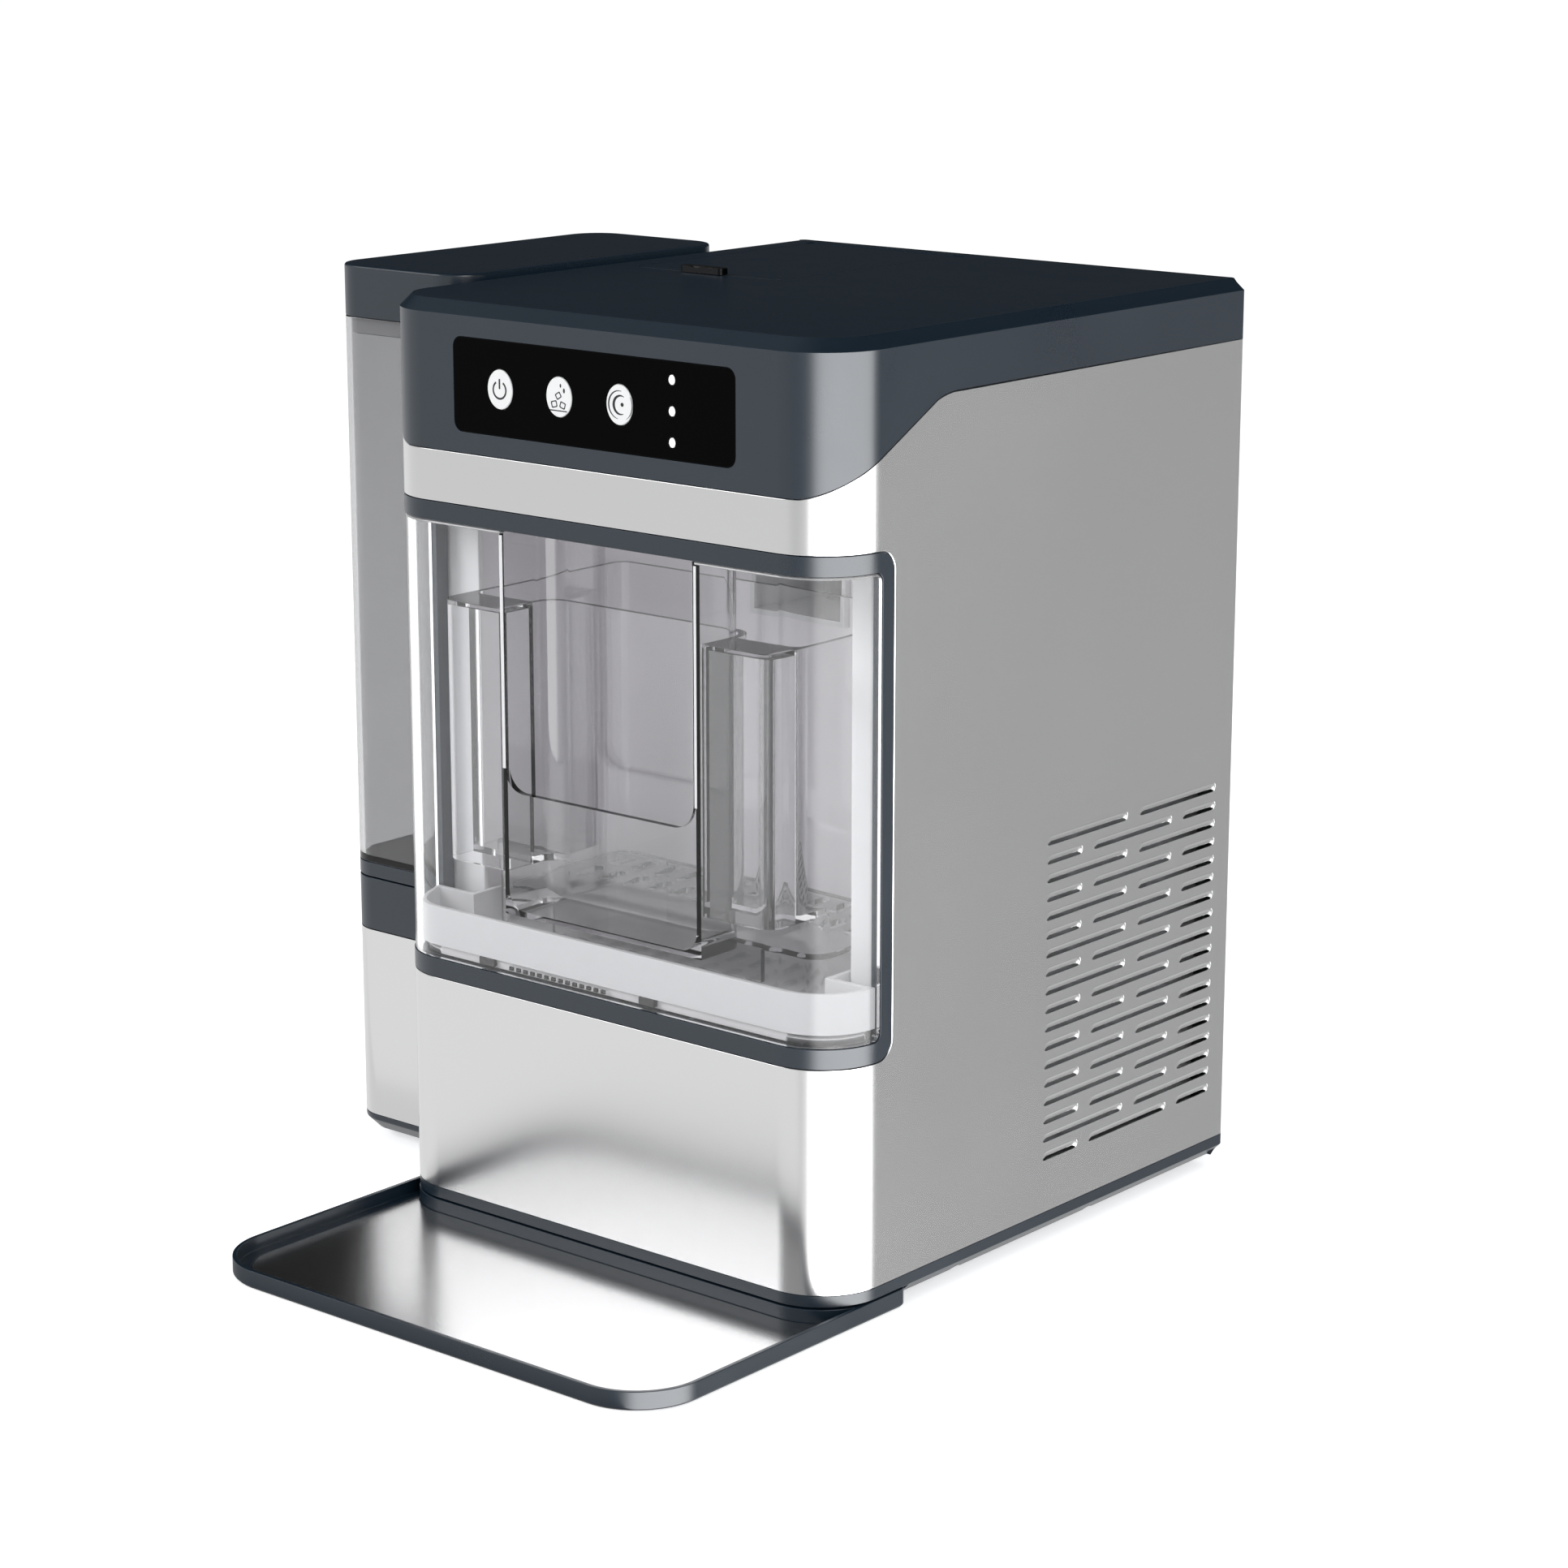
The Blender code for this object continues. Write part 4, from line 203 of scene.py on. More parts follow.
# The base pan closes the body from below. It is one moulding of dark slate plastic with a chamfered skirt,
# a recess in front for the drip tray, a well that catches drips and notches for fingers under its edge.
# Every outline below is drawn from the body's middle plane and its front face, and set down in place.
wrap_low, wrap_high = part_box("steel_wrap")
body_half = (wrap_high.x - wrap_low.x) / 2
body_depth = wrap_high.y - wrap_low.y
body_middle = (wrap_low.x + wrap_high.x) / 2
body_face = wrap_low.y
front_radius = 0.03
rear_radius = 0.003
joint = 0.0003
beyond = 0.01
Corner = collections.namedtuple("Corner", "x y z")


def node_box(node):
    """The low and the high corner of a CAD node, from the body's middle plane and its front face."""
    return [Corner(place.x - body_middle, place.y - body_face, place.z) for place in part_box(node)]


def arc(centre, radius, start, end, steps=20):
    """Points along an arc, in degrees."""
    turns = [math.radians(start + (end - start) * step / steps) for step in range(steps + 1)]
    return [(centre[0] + radius * math.cos(turn), centre[1] + radius * math.sin(turn)) for turn in turns]


def oval(across, along, width, height, sides=64):
    turns = [2 * math.pi * k / sides for k in range(sides)]
    return [(across + width / 2 * math.cos(turn), along + height / 2 * math.sin(turn)) for turn in turns]


def rounded(left, low, right, high, radii, steps=20):
    """A rectangle with round corners: radii from low left, counter-clockwise, or one for all."""
    if not isinstance(radii, (tuple, list)):
        radii = (radii,) * 4
    corners = (
        ((left, low), (1, 1), 180),
        ((right, low), (-1, 1), 270),
        ((right, high), (-1, -1), 0),
        ((left, high), (1, -1), 90),
    )
    points = []
    for (corner, (side_x, side_y), start), radius in zip(corners, radii):
        if radius <= 0:
            points.append(corner)
            continue
        centre = (corner[0] + side_x * radius, corner[1] + side_y * radius)
        count = steps if radius > 0.008 else max(4, steps // 3)
        points += arc(centre, radius, start, start + 90, count)
    return points


def footprint(inset, rear=None, at_rear=None):
    """The body's outline seen from above, drawn in by an inset."""
    side = body_half - inset
    rear = body_depth - inset if rear is None else rear
    front = max(front_radius - inset, 0)
    at_rear = max(rear_radius - inset, 0) if at_rear is None else at_rear
    return rounded(-side, inset, side, rear, (front, front, at_rear, at_rear), 24)


TURNS = {
    "X": Matrix(((0, 0, 1, 0), (1, 0, 0, 0), (0, 1, 0, 0), (0, 0, 0, 1))),
    "Y": Matrix(((1, 0, 0, 0), (0, 0, 1, 0), (0, 1, 0, 0), (0, 0, 0, 1))),
    "Z": Matrix.Identity(4),
}


def as_mesh(thing):
    """The mesh that a curve, or a piece with its modifiers, comes to."""
    bpy.context.view_layer.update()
    return bpy.data.meshes.new_from_object(thing.evaluated_get(bpy.context.evaluated_depsgraph_get()))


def bake(piece):
    """Makes a piece's modifiers part of its mesh."""
    shape = as_mesh(piece)
    piece.modifiers.clear()
    piece.data = shape
    return piece


@contextlib.contextmanager
def reshaping(shape):
    """Opens a mesh for editing and writes it back."""
    work = bmesh.new()
    work.from_mesh(shape)
    yield work
    work.to_mesh(shape)
    work.free()


def slab(name, axis, outlines, low, high):
    """A flat piece with one or more outlines, the inner ones holes, between two levels of an axis."""
    curve = bpy.data.curves.new(name, "CURVE")
    curve.dimensions = "2D"
    curve.fill_mode = "BOTH"
    curve.extrude = (high - low) / 2
    for outline in outlines:
        spline = curve.splines.new("POLY")
        spline.points.add(len(outline) - 1)
        for point, (across, along) in zip(spline.points, outline):
            point.co = (across, along, 0, 1)
        spline.use_cyclic_u = True
    drawn = stand(name, curve)
    shape = as_mesh(drawn)
    bpy.data.objects.remove(drawn)
    with reshaping(shape) as work:
        bmesh.ops.remove_doubles(work, verts=work.verts, dist=1e-6)
        bmesh.ops.dissolve_limit(
            work, angle_limit=math.radians(0.5), verts=work.verts, edges=work.edges, delimit={"NORMAL"}
        )
        bmesh.ops.recalc_face_normals(work, faces=work.faces)
        work.transform(TURNS[axis] @ Matrix.Translation((0, 0, (low + high) / 2)))
        if axis == "Y":
            bmesh.ops.reverse_faces(work, faces=work.faces)
    return stand(name, shape)


def block(name, low, high):
    return slab(name, "Z", [rounded(low[0], low[1], high[0], high[1], 0)], low[2], high[2])


def round_bar(name, axis, centre, radius, low, high, sides=48):
    return slab(name, axis, [oval(*centre, 2 * radius, 2 * radius, sides)], low, high)


def carve(piece, *tools, operation="DIFFERENCE"):
    """Takes the tools out of a piece, or joins them to it, and throws them away."""
    for tool in tools:
        step = piece.modifiers.new("carve", "BOOLEAN")
        step.operation = operation
        step.object = tool
        step.solver = "EXACT"
        bake(piece)
        bpy.data.objects.remove(tool)
    return piece


def add_to(piece, *additions):
    return carve(piece, *additions, operation="UNION")


def chamfered(piece, level, width, steps=1):
    """Bevels the rim of a piece at one level."""
    with reshaping(piece.data) as work:
        rim = [
            edge for edge in work.edges
            if all(abs(vertex.co.z - level) < 1e-5 for vertex in edge.verts)
            and len(edge.link_faces) == 2 and edge.calc_face_angle(0) > math.radians(30)
        ]
        bmesh.ops.bevel(
            work, geom=rim, offset=width, offset_type="OFFSET", segments=steps, profile=0.5, affect="EDGES",
            clamp_overlap=False,
        )
    return piece


def eased(piece, width, steps=2, angle=32, merged=True):
    """Rounds the sharp edges a little and evens out the shading. Flat faces are merged where that is safe."""
    with reshaping(piece.data) as work:
        bmesh.ops.remove_doubles(work, verts=work.verts, dist=2e-6)
        if merged:
            bmesh.ops.dissolve_limit(
                work, angle_limit=math.radians(0.3), verts=work.verts, edges=work.edges, delimit={"NORMAL"}
            )
    if width:
        edge = piece.modifiers.new("ease", "BEVEL")
        edge.width = width
        edge.segments = steps
        edge.limit_method = "ANGLE"
        edge.angle_limit = math.radians(angle)
        edge.miter_outer = "MITER_ARC"
        edge.use_clamp_overlap = True
        bake(piece)
    piece.data.shade_smooth()
    shade = piece.modifiers.new("shade", "WEIGHTED_NORMAL")
    shade.weight = 60
    shade.keep_sharp = False
    return bake(piece)


def fasten(piece, body, material, *nodes, slot=None):
    """Sets a piece down in place, gives it its finish, and fixes it to the body it moves with."""
    piece.data.transform(Matrix.Translation((body_middle, body_face, 0)))
    piece.data.materials.clear()
    piece.data.materials.append(material)
    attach(piece, body)
    if nodes:
        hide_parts(*nodes)


def effect(name, inputs, outputs):
    """An empty group of shader nodes with named sockets: (its nodes, its inputs, its output node)."""
    tree = bpy.data.node_groups.new(name, "ShaderNodeTree")
    for label, value in inputs:
        kind = "NodeSocketFloat" if isinstance(value, float) else (
            "NodeSocketColor" if len(value) == 4 else "NodeSocketVector")
        tree.interface.new_socket(label, in_out="INPUT", socket_type=kind).default_value = value
    for label in outputs:
        kind = "NodeSocketColor" if label == "Colour" else "NodeSocketFloat"
        tree.interface.new_socket(label, in_out="OUTPUT", socket_type=kind)
    return tree.nodes, tree.nodes.new("NodeGroupInput").outputs, tree.nodes.new("NodeGroupOutput")


def tinted(colour, amount):
    """A colour made lighter or darker by a value."""
    return wire(
        amount.id_data.nodes, "VectorMath", [(0, colour), ("Scale", amount)], [("operation", "SCALE")]
    ).outputs[0]


def place_in(nodes):
    return wire(nodes, "TexCoord").outputs["Object"]


def noise(place, scale, detail, roughness=0.5):
    return wire(place.id_data.nodes, "TexNoise", [
        ("Vector", place), ("Scale", scale), ("Detail", detail), ("Roughness", roughness),
    ]).outputs["Fac"]


# Moulded grain: the fine spark-eroded texture of a plastic moulding, with slow drifts in tone and gloss.
nodes, given, result = effect(
    "moulded_grain", [("Colour", (0.5, 0.5, 0.5, 1)), ("Roughness", 0.4), ("Grain", 0.0005), ("Mottle", 0.05)],
    ("Colour", "Roughness", "Height"),
)
place = place_in(nodes)
fine = noise(place, calc("DIVIDE", 1.0, given["Grain"]), 2.0)
drift = calc("SUBTRACT", noise(place, 9.0, 4.0, 0.6), 0.5)
grit = calc("SUBTRACT", fine, 0.5)
tone = calc("ADD", 1.0, calc("MULTIPLY", given["Mottle"], calc("MULTIPLY_ADD", drift, 2.4, grit)))
gloss = calc("MULTIPLY_ADD", drift, 0.16, calc("MULTIPLY", grit, 0.05))
feed(result, [
    ("Colour", tinted(given["Colour"], tone)), ("Roughness", calc("ADD", given["Roughness"], gloss)),
    ("Height", fine),
])

# Handled edges: where a corner is rubbed by hands and cloths it turns a little lighter and smoother.
nodes, given, result = effect("handled_edge", [("Width", 0.0004), ("Amount", 0.5)], ("Mask",))
round_normal = wire(nodes, "Bevel", [("Radius", given["Width"])], [("samples", 6)]).outputs[0]
flat_normal = wire(nodes, "NewGeometry").outputs["Normal"]
facing = wire(
    nodes, "VectorMath", [(0, round_normal), (1, flat_normal)], [("operation", "DOT_PRODUCT")]
).outputs["Value"]
patchy = noise(place_in(nodes), 60.0, 3.0)
edge_mask = calc("MULTIPLY", between(facing, 0.985, 0.9), between(patchy, 0.25, 0.65, 0.35, 1.0))
feed(result, [("Mask", calc("MULTIPLY", edge_mask, given["Amount"]))])


def spaced(values):
    """Named values for feed, where a name has underscores for its spaces."""
    return [(label.replace("_", " "), value) for label, value in values.items()]


def use(nodes, name, **values):
    """Places a group in a material with its own values."""
    node = nodes.new("ShaderNodeGroup")
    node.node_tree = bpy.data.node_groups[name]
    feed(node, spaced(values))
    return node.outputs


def blank(name, **sockets):
    """A material with one Principled shader: (material, nodes, shader)."""
    material = bpy.data.materials.new(name)
    material.use_nodes = True
    nodes = material.node_tree.nodes
    shader = nodes["Principled BSDF"]
    feed(shader, spaced(sockets))
    return material, nodes, shader


def bumpy(shader, height, strength, distance):
    bump = wire(
        height.id_data.nodes, "Bump", [("Strength", strength), ("Distance", distance), ("Height", height)]
    )
    feed(shader, [("Normal", bump.outputs[0])])


def handled(shader, skin, colour, lighter, smoother, width, amount):
    """Leads a skin's colour and gloss to the shader, with the edges rubbed."""
    nodes = shader.id_data.nodes
    edge = use(nodes, "handled_edge", Width=width, Amount=amount)["Mask"]
    mixed = wire(nodes, "Mix", [
        (0, edge), (6, skin["Colour"]), (7, (*[min(1.0, c * lighter + 0.02) for c in colour], 1)),
    ], [("data_type", "RGBA")]).outputs[2]
    gloss = calc("MULTIPLY_ADD", edge, -smoother, skin["Roughness"])
    feed(shader, [("Base Color", mixed), ("Roughness", gloss)])


def moulded(name, colour, roughness, grain=0.0005, depth=0.00001, mottle=0.05, wear=0.3, **sockets):
    """A moulded plastic in one colour."""
    material, nodes, shader = blank(name, **sockets)
    skin = use(nodes, "moulded_grain", Colour=(*colour, 1), Roughness=roughness, Grain=grain, Mottle=mottle)
    handled(shader, skin, colour, 1.9, 0.1, 0.0006, wear)
    bumpy(shader, skin["Height"], 0.6, depth)
    return material


slate_plastic = moulded(
    "slate_plastic", (0.0062, 0.0152, 0.0262), 0.3, grain=0.0006, depth=0.000006, mottle=0.05,
    Specular_IOR_Level=0.88,
)

pan_low, pan_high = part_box("base_pan")
floor_of_recess, recess_rear, recess_half, well_half = 0.0089, 0.0532, 0.14, 0.12
pan = chamfered(slab("pan", "Z", [footprint(0)], pan_low.z, pan_high.z), pan_low.z, 0.0054)
carve(
    pan,
    block("recess", (-recess_half, -beyond, 0), (recess_half, recess_rear, floor_of_recess)),
    slab("hollow", "Z", [footprint(0.006)], floor_of_recess + 0.0024, pan_high.z + beyond),
    block("well", (-well_half, recess_rear + 0.006, pan_low.z + 0.0024), (well_half, 0.2823, pan_high.z + beyond)),
    *[
        round_bar("notch", "X", (y, pan_low.z - 0.0048), 0.006, *ends)
        for y in (0.0915, 0.1895) for ends in ((-recess_half, -well_half), (well_half, recess_half))
    ],
)
fasten(eased(pan, 0.0003), "machine", slate_plastic, "base_pan", slot="dark_plastic")

# Four turned rubber feet are pressed into the pan, with a rounded sole and a shallow ring.
rubber = moulded("rubber", (0.018, 0.018, 0.018), 0.72, grain=0.0008, depth=0.00003, mottle=0.12, wear=0.5)


def turned(name, profile, centre, axis="Z", sides=48):
    """A turned piece: its profile is (radius, level) from one end to the other."""
    shape = bpy.data.meshes.new(name)
    with reshaping(shape) as work:
        rings = [
            [work.verts.new((*point, level)) for point in (
                oval(0, 0, 2 * radius, 2 * radius, sides) if radius > 1e-6 else [(0, 0)]
            )]
            for radius, level in profile
        ]
        for lower, upper in zip(rings, rings[1:]):
            for k in range(sides):
                corners = [ring[j % len(ring)] for ring, j in ((lower, k), (lower, k + 1), (upper, k + 1), (upper, k))]
                corners = list(dict.fromkeys(corners))
                if len(corners) > 2:
                    work.faces.new(corners)
        for ring in (rings[0], rings[-1]):
            if len(ring) > 1:
                work.faces.new(ring)
        bmesh.ops.recalc_face_normals(work, faces=work.faces)
        place = {"X": (0, *centre), "Y": (centre[0], 0, centre[1]), "Z": (*centre, 0)}[axis]
        work.transform(Matrix.Translation(place) @ TURNS[axis])
        bmesh.ops.recalc_face_normals(work, faces=work.faces)
    shape.shade_smooth()
    shape.set_sharp_from_angle(angle=math.radians(50))
    return stand(name, shape)


def foot(name, node):
    low, high = node_box(node)
    radius = (high.x - low.x) / 2
    sole = [(radius * share, level) for share, level in (
        (0.52, low.z + 0.0006), (0.58, low.z), (0.86, low.z), (0.97, low.z + 0.0005), (1, low.z + 0.0012),
        (1, high.z - 0.0005), (0.96, high.z),
    )]
    centre = ((low.x + high.x) / 2, (low.y + high.y) / 2)
    fasten(turned(name, sole, centre), "machine", rubber, node, slot="rubber")


for place_name in ("front_left", "front_right", "rear_left", "rear_right"):
    foot("rubber_foot_" + place_name, "foot_" + place_name)

# The works stand on the pan: a black enamelled compressor, a condenser of pressed aluminium fins with its fan,
# and the geared auger in its cold barrel, which squeezes frost into nuggets. Bought-in parts, bolted down.

# Drawn metal: lines left by rolling and brushing. The grain vector is fine across the lines, coarse along them.
nodes, given, result = effect(
    "drawn_metal", [("Colour", (0.8, 0.8, 0.8, 1)), ("Roughness", 0.3), ("Grain", (8.0, 8.0, 900.0)), ("Lines", 0.04)],
    ("Colour", "Roughness", "Height"),
)
place = place_in(nodes)
stretched = wire(nodes, "VectorMath", [(0, place), (1, given["Grain"])], [("operation", "MULTIPLY")]).outputs[0]
lines = noise(stretched, 1.0, 3.0, 0.65)
line_drift = calc("SUBTRACT", lines, 0.5)
smear = calc("SUBTRACT", noise(place, 7.0, 4.0), 0.5)
tone = calc("MULTIPLY_ADD", line_drift, given["Lines"], calc("MULTIPLY_ADD", smear, 0.03, 1.0))
spread = calc("MULTIPLY", line_drift, calc("MULTIPLY", given["Lines"], 2.0))
gloss = calc("ADD", given["Roughness"], calc("MULTIPLY_ADD", smear, 0.05, spread))
feed(result, [("Colour", tinted(given["Colour"], tone)), ("Roughness", gloss), ("Height", lines)])


def metal(name, colour, roughness, along=(8.0, 8.0, 8.0), lines=0.04, depth=0.000004, wear=0.25):
    """A metal with fine lines or a fine mottle, as its grain vector says."""
    material, nodes, shader = blank(name, Metallic=1.0)
    skin = use(nodes, "drawn_metal", Colour=(*colour, 1), Roughness=roughness, Grain=along, Lines=lines)
    handled(shader, skin, colour, 1.15, 0.08, 0.0005, wear)
    bumpy(shader, skin["Height"], 0.5, depth)
    return material


def coat(material, *names):
    """Gives CAD nodes that stay as they are their finish."""
    for name in names:
        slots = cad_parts[name].data.materials
        slots.clear()
        slots.append(material)


coat(
    moulded("black_enamel", (0.012, 0.012, 0.013), 0.26, grain=0.003, depth=0.00004, mottle=0.1, wear=0.6,
            Coat_Weight=0.4, Coat_Roughness=0.15),
    "compressor", "gear_motor", "water_pump",
)
coat(metal("pressed_aluminium", (0.72, 0.73, 0.75), 0.34, along=(40.0, 40.0, 400.0), lines=0.1),
     "condenser", "gearbox_stand")
coat(metal("cast_aluminium", (0.58, 0.58, 0.6), 0.52, along=(900.0, 900.0, 900.0), lines=0.22, depth=0.00003),
     "gearbox", "evaporator_barrel")
coat(metal("turned_stainless", (0.74, 0.74, 0.74), 0.26, along=(30.0, 30.0, 1500.0), lines=0.1), "auger")
coat(slate_plastic, "fan_shroud", "condenser_fan", "dock_bracket")
white_plastic = moulded(
    "white_plastic", (0.72, 0.72, 0.73), 0.36, grain=0.0007, depth=0.000008, mottle=0.02, wear=0.15
)
coat(white_plastic, "reservoir", "feed_pipe", "ice_chute")

# The case is one sheet of satin stainless, folded round the front with two round corners. The window for the
# drawer is cut through its front and round both corners, and the sides have staggered rows of pressed louvres.
sheet_wall = 0.0012
window_low, window_high, window_rear, window_radius = 0.114, 0.3305, 0.0396, 0.009
fascia_low, cover_low, body_top, over_top = 0.3535, 0.3908, 0.4179, 0.43
satin_steel = metal(
    "satin_steel", (0.86, 0.86, 0.865), 0.2, along=(2.0, 2.0, 1600.0), lines=0.012, depth=0.000001, wear=0.5
)


def under_fascia(drop, reach):
    """The side view of the edge under the fascia: level, a straight slope, then level again to the rear."""
    edge = [
        (-beyond, fascia_low), (0.002, fascia_low), (0.0667, cover_low - 0.0025), (0.07, cover_low - 0.0014),
        (0.0735, cover_low - 0.0006), (0.0775, cover_low - 0.0001), (0.082, cover_low),
        (body_depth + beyond, cover_low),
    ]
    return [(y, level - drop) for y, level in edge] + [(body_depth + beyond, reach), (-beyond, reach)]


def louvre_places():
    """Front end, rear end and level of every louvre in one side."""
    rows = (((0.1474, 0.2082), (0.217, 0.2778)), ((0.1474, 0.174), (0.1822, 0.243), (0.2512, 0.2778)))
    return [(*ends, 0.1845 - row * 0.00852) for row in range(18) for ends in rows[row % 2]]


def through_wall(side):
    """Windows for the water bridge in one side wall, or in the pedestal: its bracket's and its pipe's."""
    low, high = side
    return (
        block("bracket_window", (low, 0.1097, 0.0297), (high, 0.1503, 0.0703)),
        round_bar("pipe_window", "X", (0.16, 0.085), 0.005, low, high, 24),
    )


louvre_half, louvre_rise = 0.0021, 0.0012
louvre_holes = [
    arc((rear - louvre_half, level + louvre_rise), louvre_half, -90, 90, 8)
    + arc((front + louvre_half, level + louvre_rise), louvre_half, 90, 270, 8)
    for front, rear, level in louvre_places()
]
side_reach = body_half + beyond
case = slab("case", "Z", [footprint(0), footprint(sheet_wall)[::-1]], wrap_low.z, body_top)
carve(
    case,
    slab("above", "X", [under_fascia(joint, over_top)], -side_reach, side_reach),
    slab("window", "X", [rounded(-beyond, window_low, window_rear, window_high, window_radius)],
         -side_reach, side_reach),
    block("rear_opening", (-0.118, body_depth - beyond, 0), (0.118, body_depth + beyond, over_top)),
    slab("louvres_right", "X", louvre_holes, body_half - 0.005, side_reach),
    slab("louvres_left", "X", louvre_holes, -side_reach, 0.005 - body_half),
    *through_wall((-side_reach, beyond - body_half)),
)


def on_outer_skin(place):
    """Whether a corner of the sheet lies on its outer face, in front of the louvres."""
    into = abs(place.x) - (body_half - front_radius)
    if into > 0 and place.y < front_radius:
        return math.hypot(into, place.y - front_radius) > front_radius - 0.0003
    return place.y < 0.0002 or (abs(place.x) > body_half - 0.0002 and place.y < 0.12)


def on_cut_edge(place):
    """Whether it also lies on the sheet's top edge or on the edge of the drawer's window."""
    return place.z > fascia_low - 0.001 or (
        window_low - 0.0002 < place.z < window_high + 0.0002 and place.y < window_rear + 0.0002
    )


# The top edge of the front and the window's edge are polished round after the sheet is cut, and catch the light.
with reshaping(case.data) as work:
    bmesh.ops.remove_doubles(work, verts=work.verts, dist=0.00001)
    sharp = [
        edge for edge in work.edges
        if all(on_outer_skin(end.co) and on_cut_edge(end.co) for end in edge.verts) and edge.calc_face_angle(0) > 0.9
    ]
    bmesh.ops.bevel(work, geom=sharp, offset=0.0005, segments=3, profile=0.5, affect="EDGES", clamp_overlap=True)
fasten(eased(case, 0.00022, angle=40), "machine", satin_steel, "steel_wrap", slot="brushed_steel")


def louvre_flaps(name, side):
    """The tongues pressed in behind the louvre slots of one side: each dips inward and is open below."""
    shape = bpy.data.meshes.new(name)
    ends, across, deep, ramp = 16, 9, 0.00055, 0.0042
    shares = [0.5 * (1 - math.cos(math.pi * k / ends)) for k in range(ends + 1)]
    with reshaping(shape) as work:
        for front, rear, level in louvre_places():
            low = level + louvre_rise - louvre_half
            high = level + louvre_rise + louvre_half
            length = rear - front
            along = [ramp * k for k in shares] + [length / 2] + [length - ramp * k for k in reversed(shares)]
            rows = []
            for reach in along:
                near = min(reach, length - reach) / ramp
                dip = math.sin(min(1.0, near) * math.pi / 2) ** 1.3
                foot_level = low + 0.0015 * min(1.0, near * 1.15) ** 0.8
                strip = []
                for share in (k / across for k in range(across + 1)):
                    inward = 0.00004 + deep * dip * math.sin(share * math.pi / 2)
                    place = side * (body_half - inward), front + reach, high + (foot_level - high) * share
                    strip.append(work.verts.new(place))
                rows.append(strip)
            for left, right in zip(rows, rows[1:]):
                for k in range(across):
                    corners = (left[k], left[k + 1], right[k + 1], right[k])
                    work.faces.new(corners if side < 0 else corners[::-1])
        bmesh.ops.recalc_face_normals(work, faces=work.faces)
    shape.shade_smooth()
    piece = stand(name, shape)
    thick = piece.modifiers.new("thick", "SOLIDIFY")
    thick.thickness = 0.0006
    thick.offset = -1
    fasten(bake(piece), "machine", satin_steel, slot="brushed_steel")


louvre_flaps("louvre_tongues_right", 1)
louvre_flaps("louvre_tongues_left", -1)

# The rear panel is a flat sheet of the same steel with punched air slots, held by four screws. The socket for
# the mains lead and the rubber cap of the drain sit low down in it.
panel_low, panel_high = node_box("rear_panel")
rear_face = panel_high.y
socket_x, socket_level = 0.082, 0.052


def around(x, level, half, tall, radius):
    return rounded(x - half, level - tall, x + half, level + tall, radius)


slots = []
for column in range(4):
    for row in range(6):
        middle = (column - 1.5) * 0.052
        level = 0.23 + row * 0.014
        slots.append(rounded(middle - 0.021, level, middle + 0.021, level + 0.004, 0.0019)[::-1])
slots.append(around(socket_x, socket_level, 0.0138, 0.01005, 0.002)[::-1])
back = slab("rear_sheet", "Y", [rounded(-0.127, panel_low.z, 0.127, panel_high.z, 0.0)] + slots,
            panel_low.y, rear_face)
carve(back, round_bar("drain_hole", "Y", (-0.085, 0.04), 0.0073, rear_face - beyond, rear_face + beyond))
for x in (-0.106, 0.106):
    for level in (0.03, 0.37):
        carve(back, round_bar("screw_hole", "Y", (x, level), 0.0019, rear_face - beyond, rear_face + beyond, 24))
fasten(eased(back, 0.0002), "machine", satin_steel, "rear_panel", slot="brushed_steel")

bright_screw = metal("bright_screw", (0.78, 0.78, 0.79), 0.2, along=(600.0, 600.0, 600.0), lines=0.15, wear=0.6)


def rear_centre(low, high):
    return (low.x + high.x) / 2, (low.z + high.z) / 2


def pan_screw(name, node):
    """A pan-head screw with a cross recess."""
    low, high = node_box(node)
    radius = (high.x - low.x) / 2
    x, level = rear_centre(low, high)
    tip, top = low.y, high.y
    seat = top - 0.001
    screw = turned(name, [
        (0.0, tip), (0.0011, tip + 0.0009), (0.0016, tip + 0.0022), (0.0016, seat), (radius, seat),
        (radius, seat + 0.0003), (radius * 0.93, seat + 0.0006), (radius * 0.75, top - 0.0001), (radius * 0.5, top),
        (0.0, top),
    ], (x, level), "Y", 32)
    carve(screw, *[
        block("recess", (x - wide, top - 0.0007, level - tall), (x + wide, top + 0.001, level + tall))
        for wide, tall in ((0.0017, 0.00045), (0.00045, 0.0017))
    ])
    fasten(screw, "machine", bright_screw, node, slot="chrome")


for index in range(1, 5):
    pan_screw(f"panel_screw_{index}", f"rear_screw_{index}")

# The appliance inlet: a black moulding with a flange, a shaped well and three nickel pins.
black_plastic = moulded("black_plastic", (0.012, 0.012, 0.013), 0.38, grain=0.0006, depth=0.00001)
nickel = metal("nickel", (0.7, 0.68, 0.63), 0.18, along=(500.0, 60.0, 500.0), lines=0.08)
inlet_low, inlet_high = node_box("power_inlet")
deep, proud = inlet_low.y, inlet_high.y
flange = slab("inlet", "Y", [rounded(inlet_low.x, inlet_low.z, inlet_high.x, inlet_high.z, 0.004)],
              rear_face + 0.00005, proud)
add_to(flange, slab("shell", "Y", [around(socket_x, socket_level, 0.0135, 0.00975, 0.002)], deep, rear_face + 0.0005))
well = [(socket_x + across, socket_level + up) for across, up in (
    (-0.012, -0.00825), (0.012, -0.00825), (0.012, 0.0045), (0.0085, 0.00825), (-0.0085, 0.00825),
    (-0.012, 0.0045),
)]
carve(flange, slab("well", "Y", [well], deep + 0.0015, proud + beyond))
fasten(eased(flange, 0.0004), "machine", black_plastic, "power_inlet", slot="black_plastic")
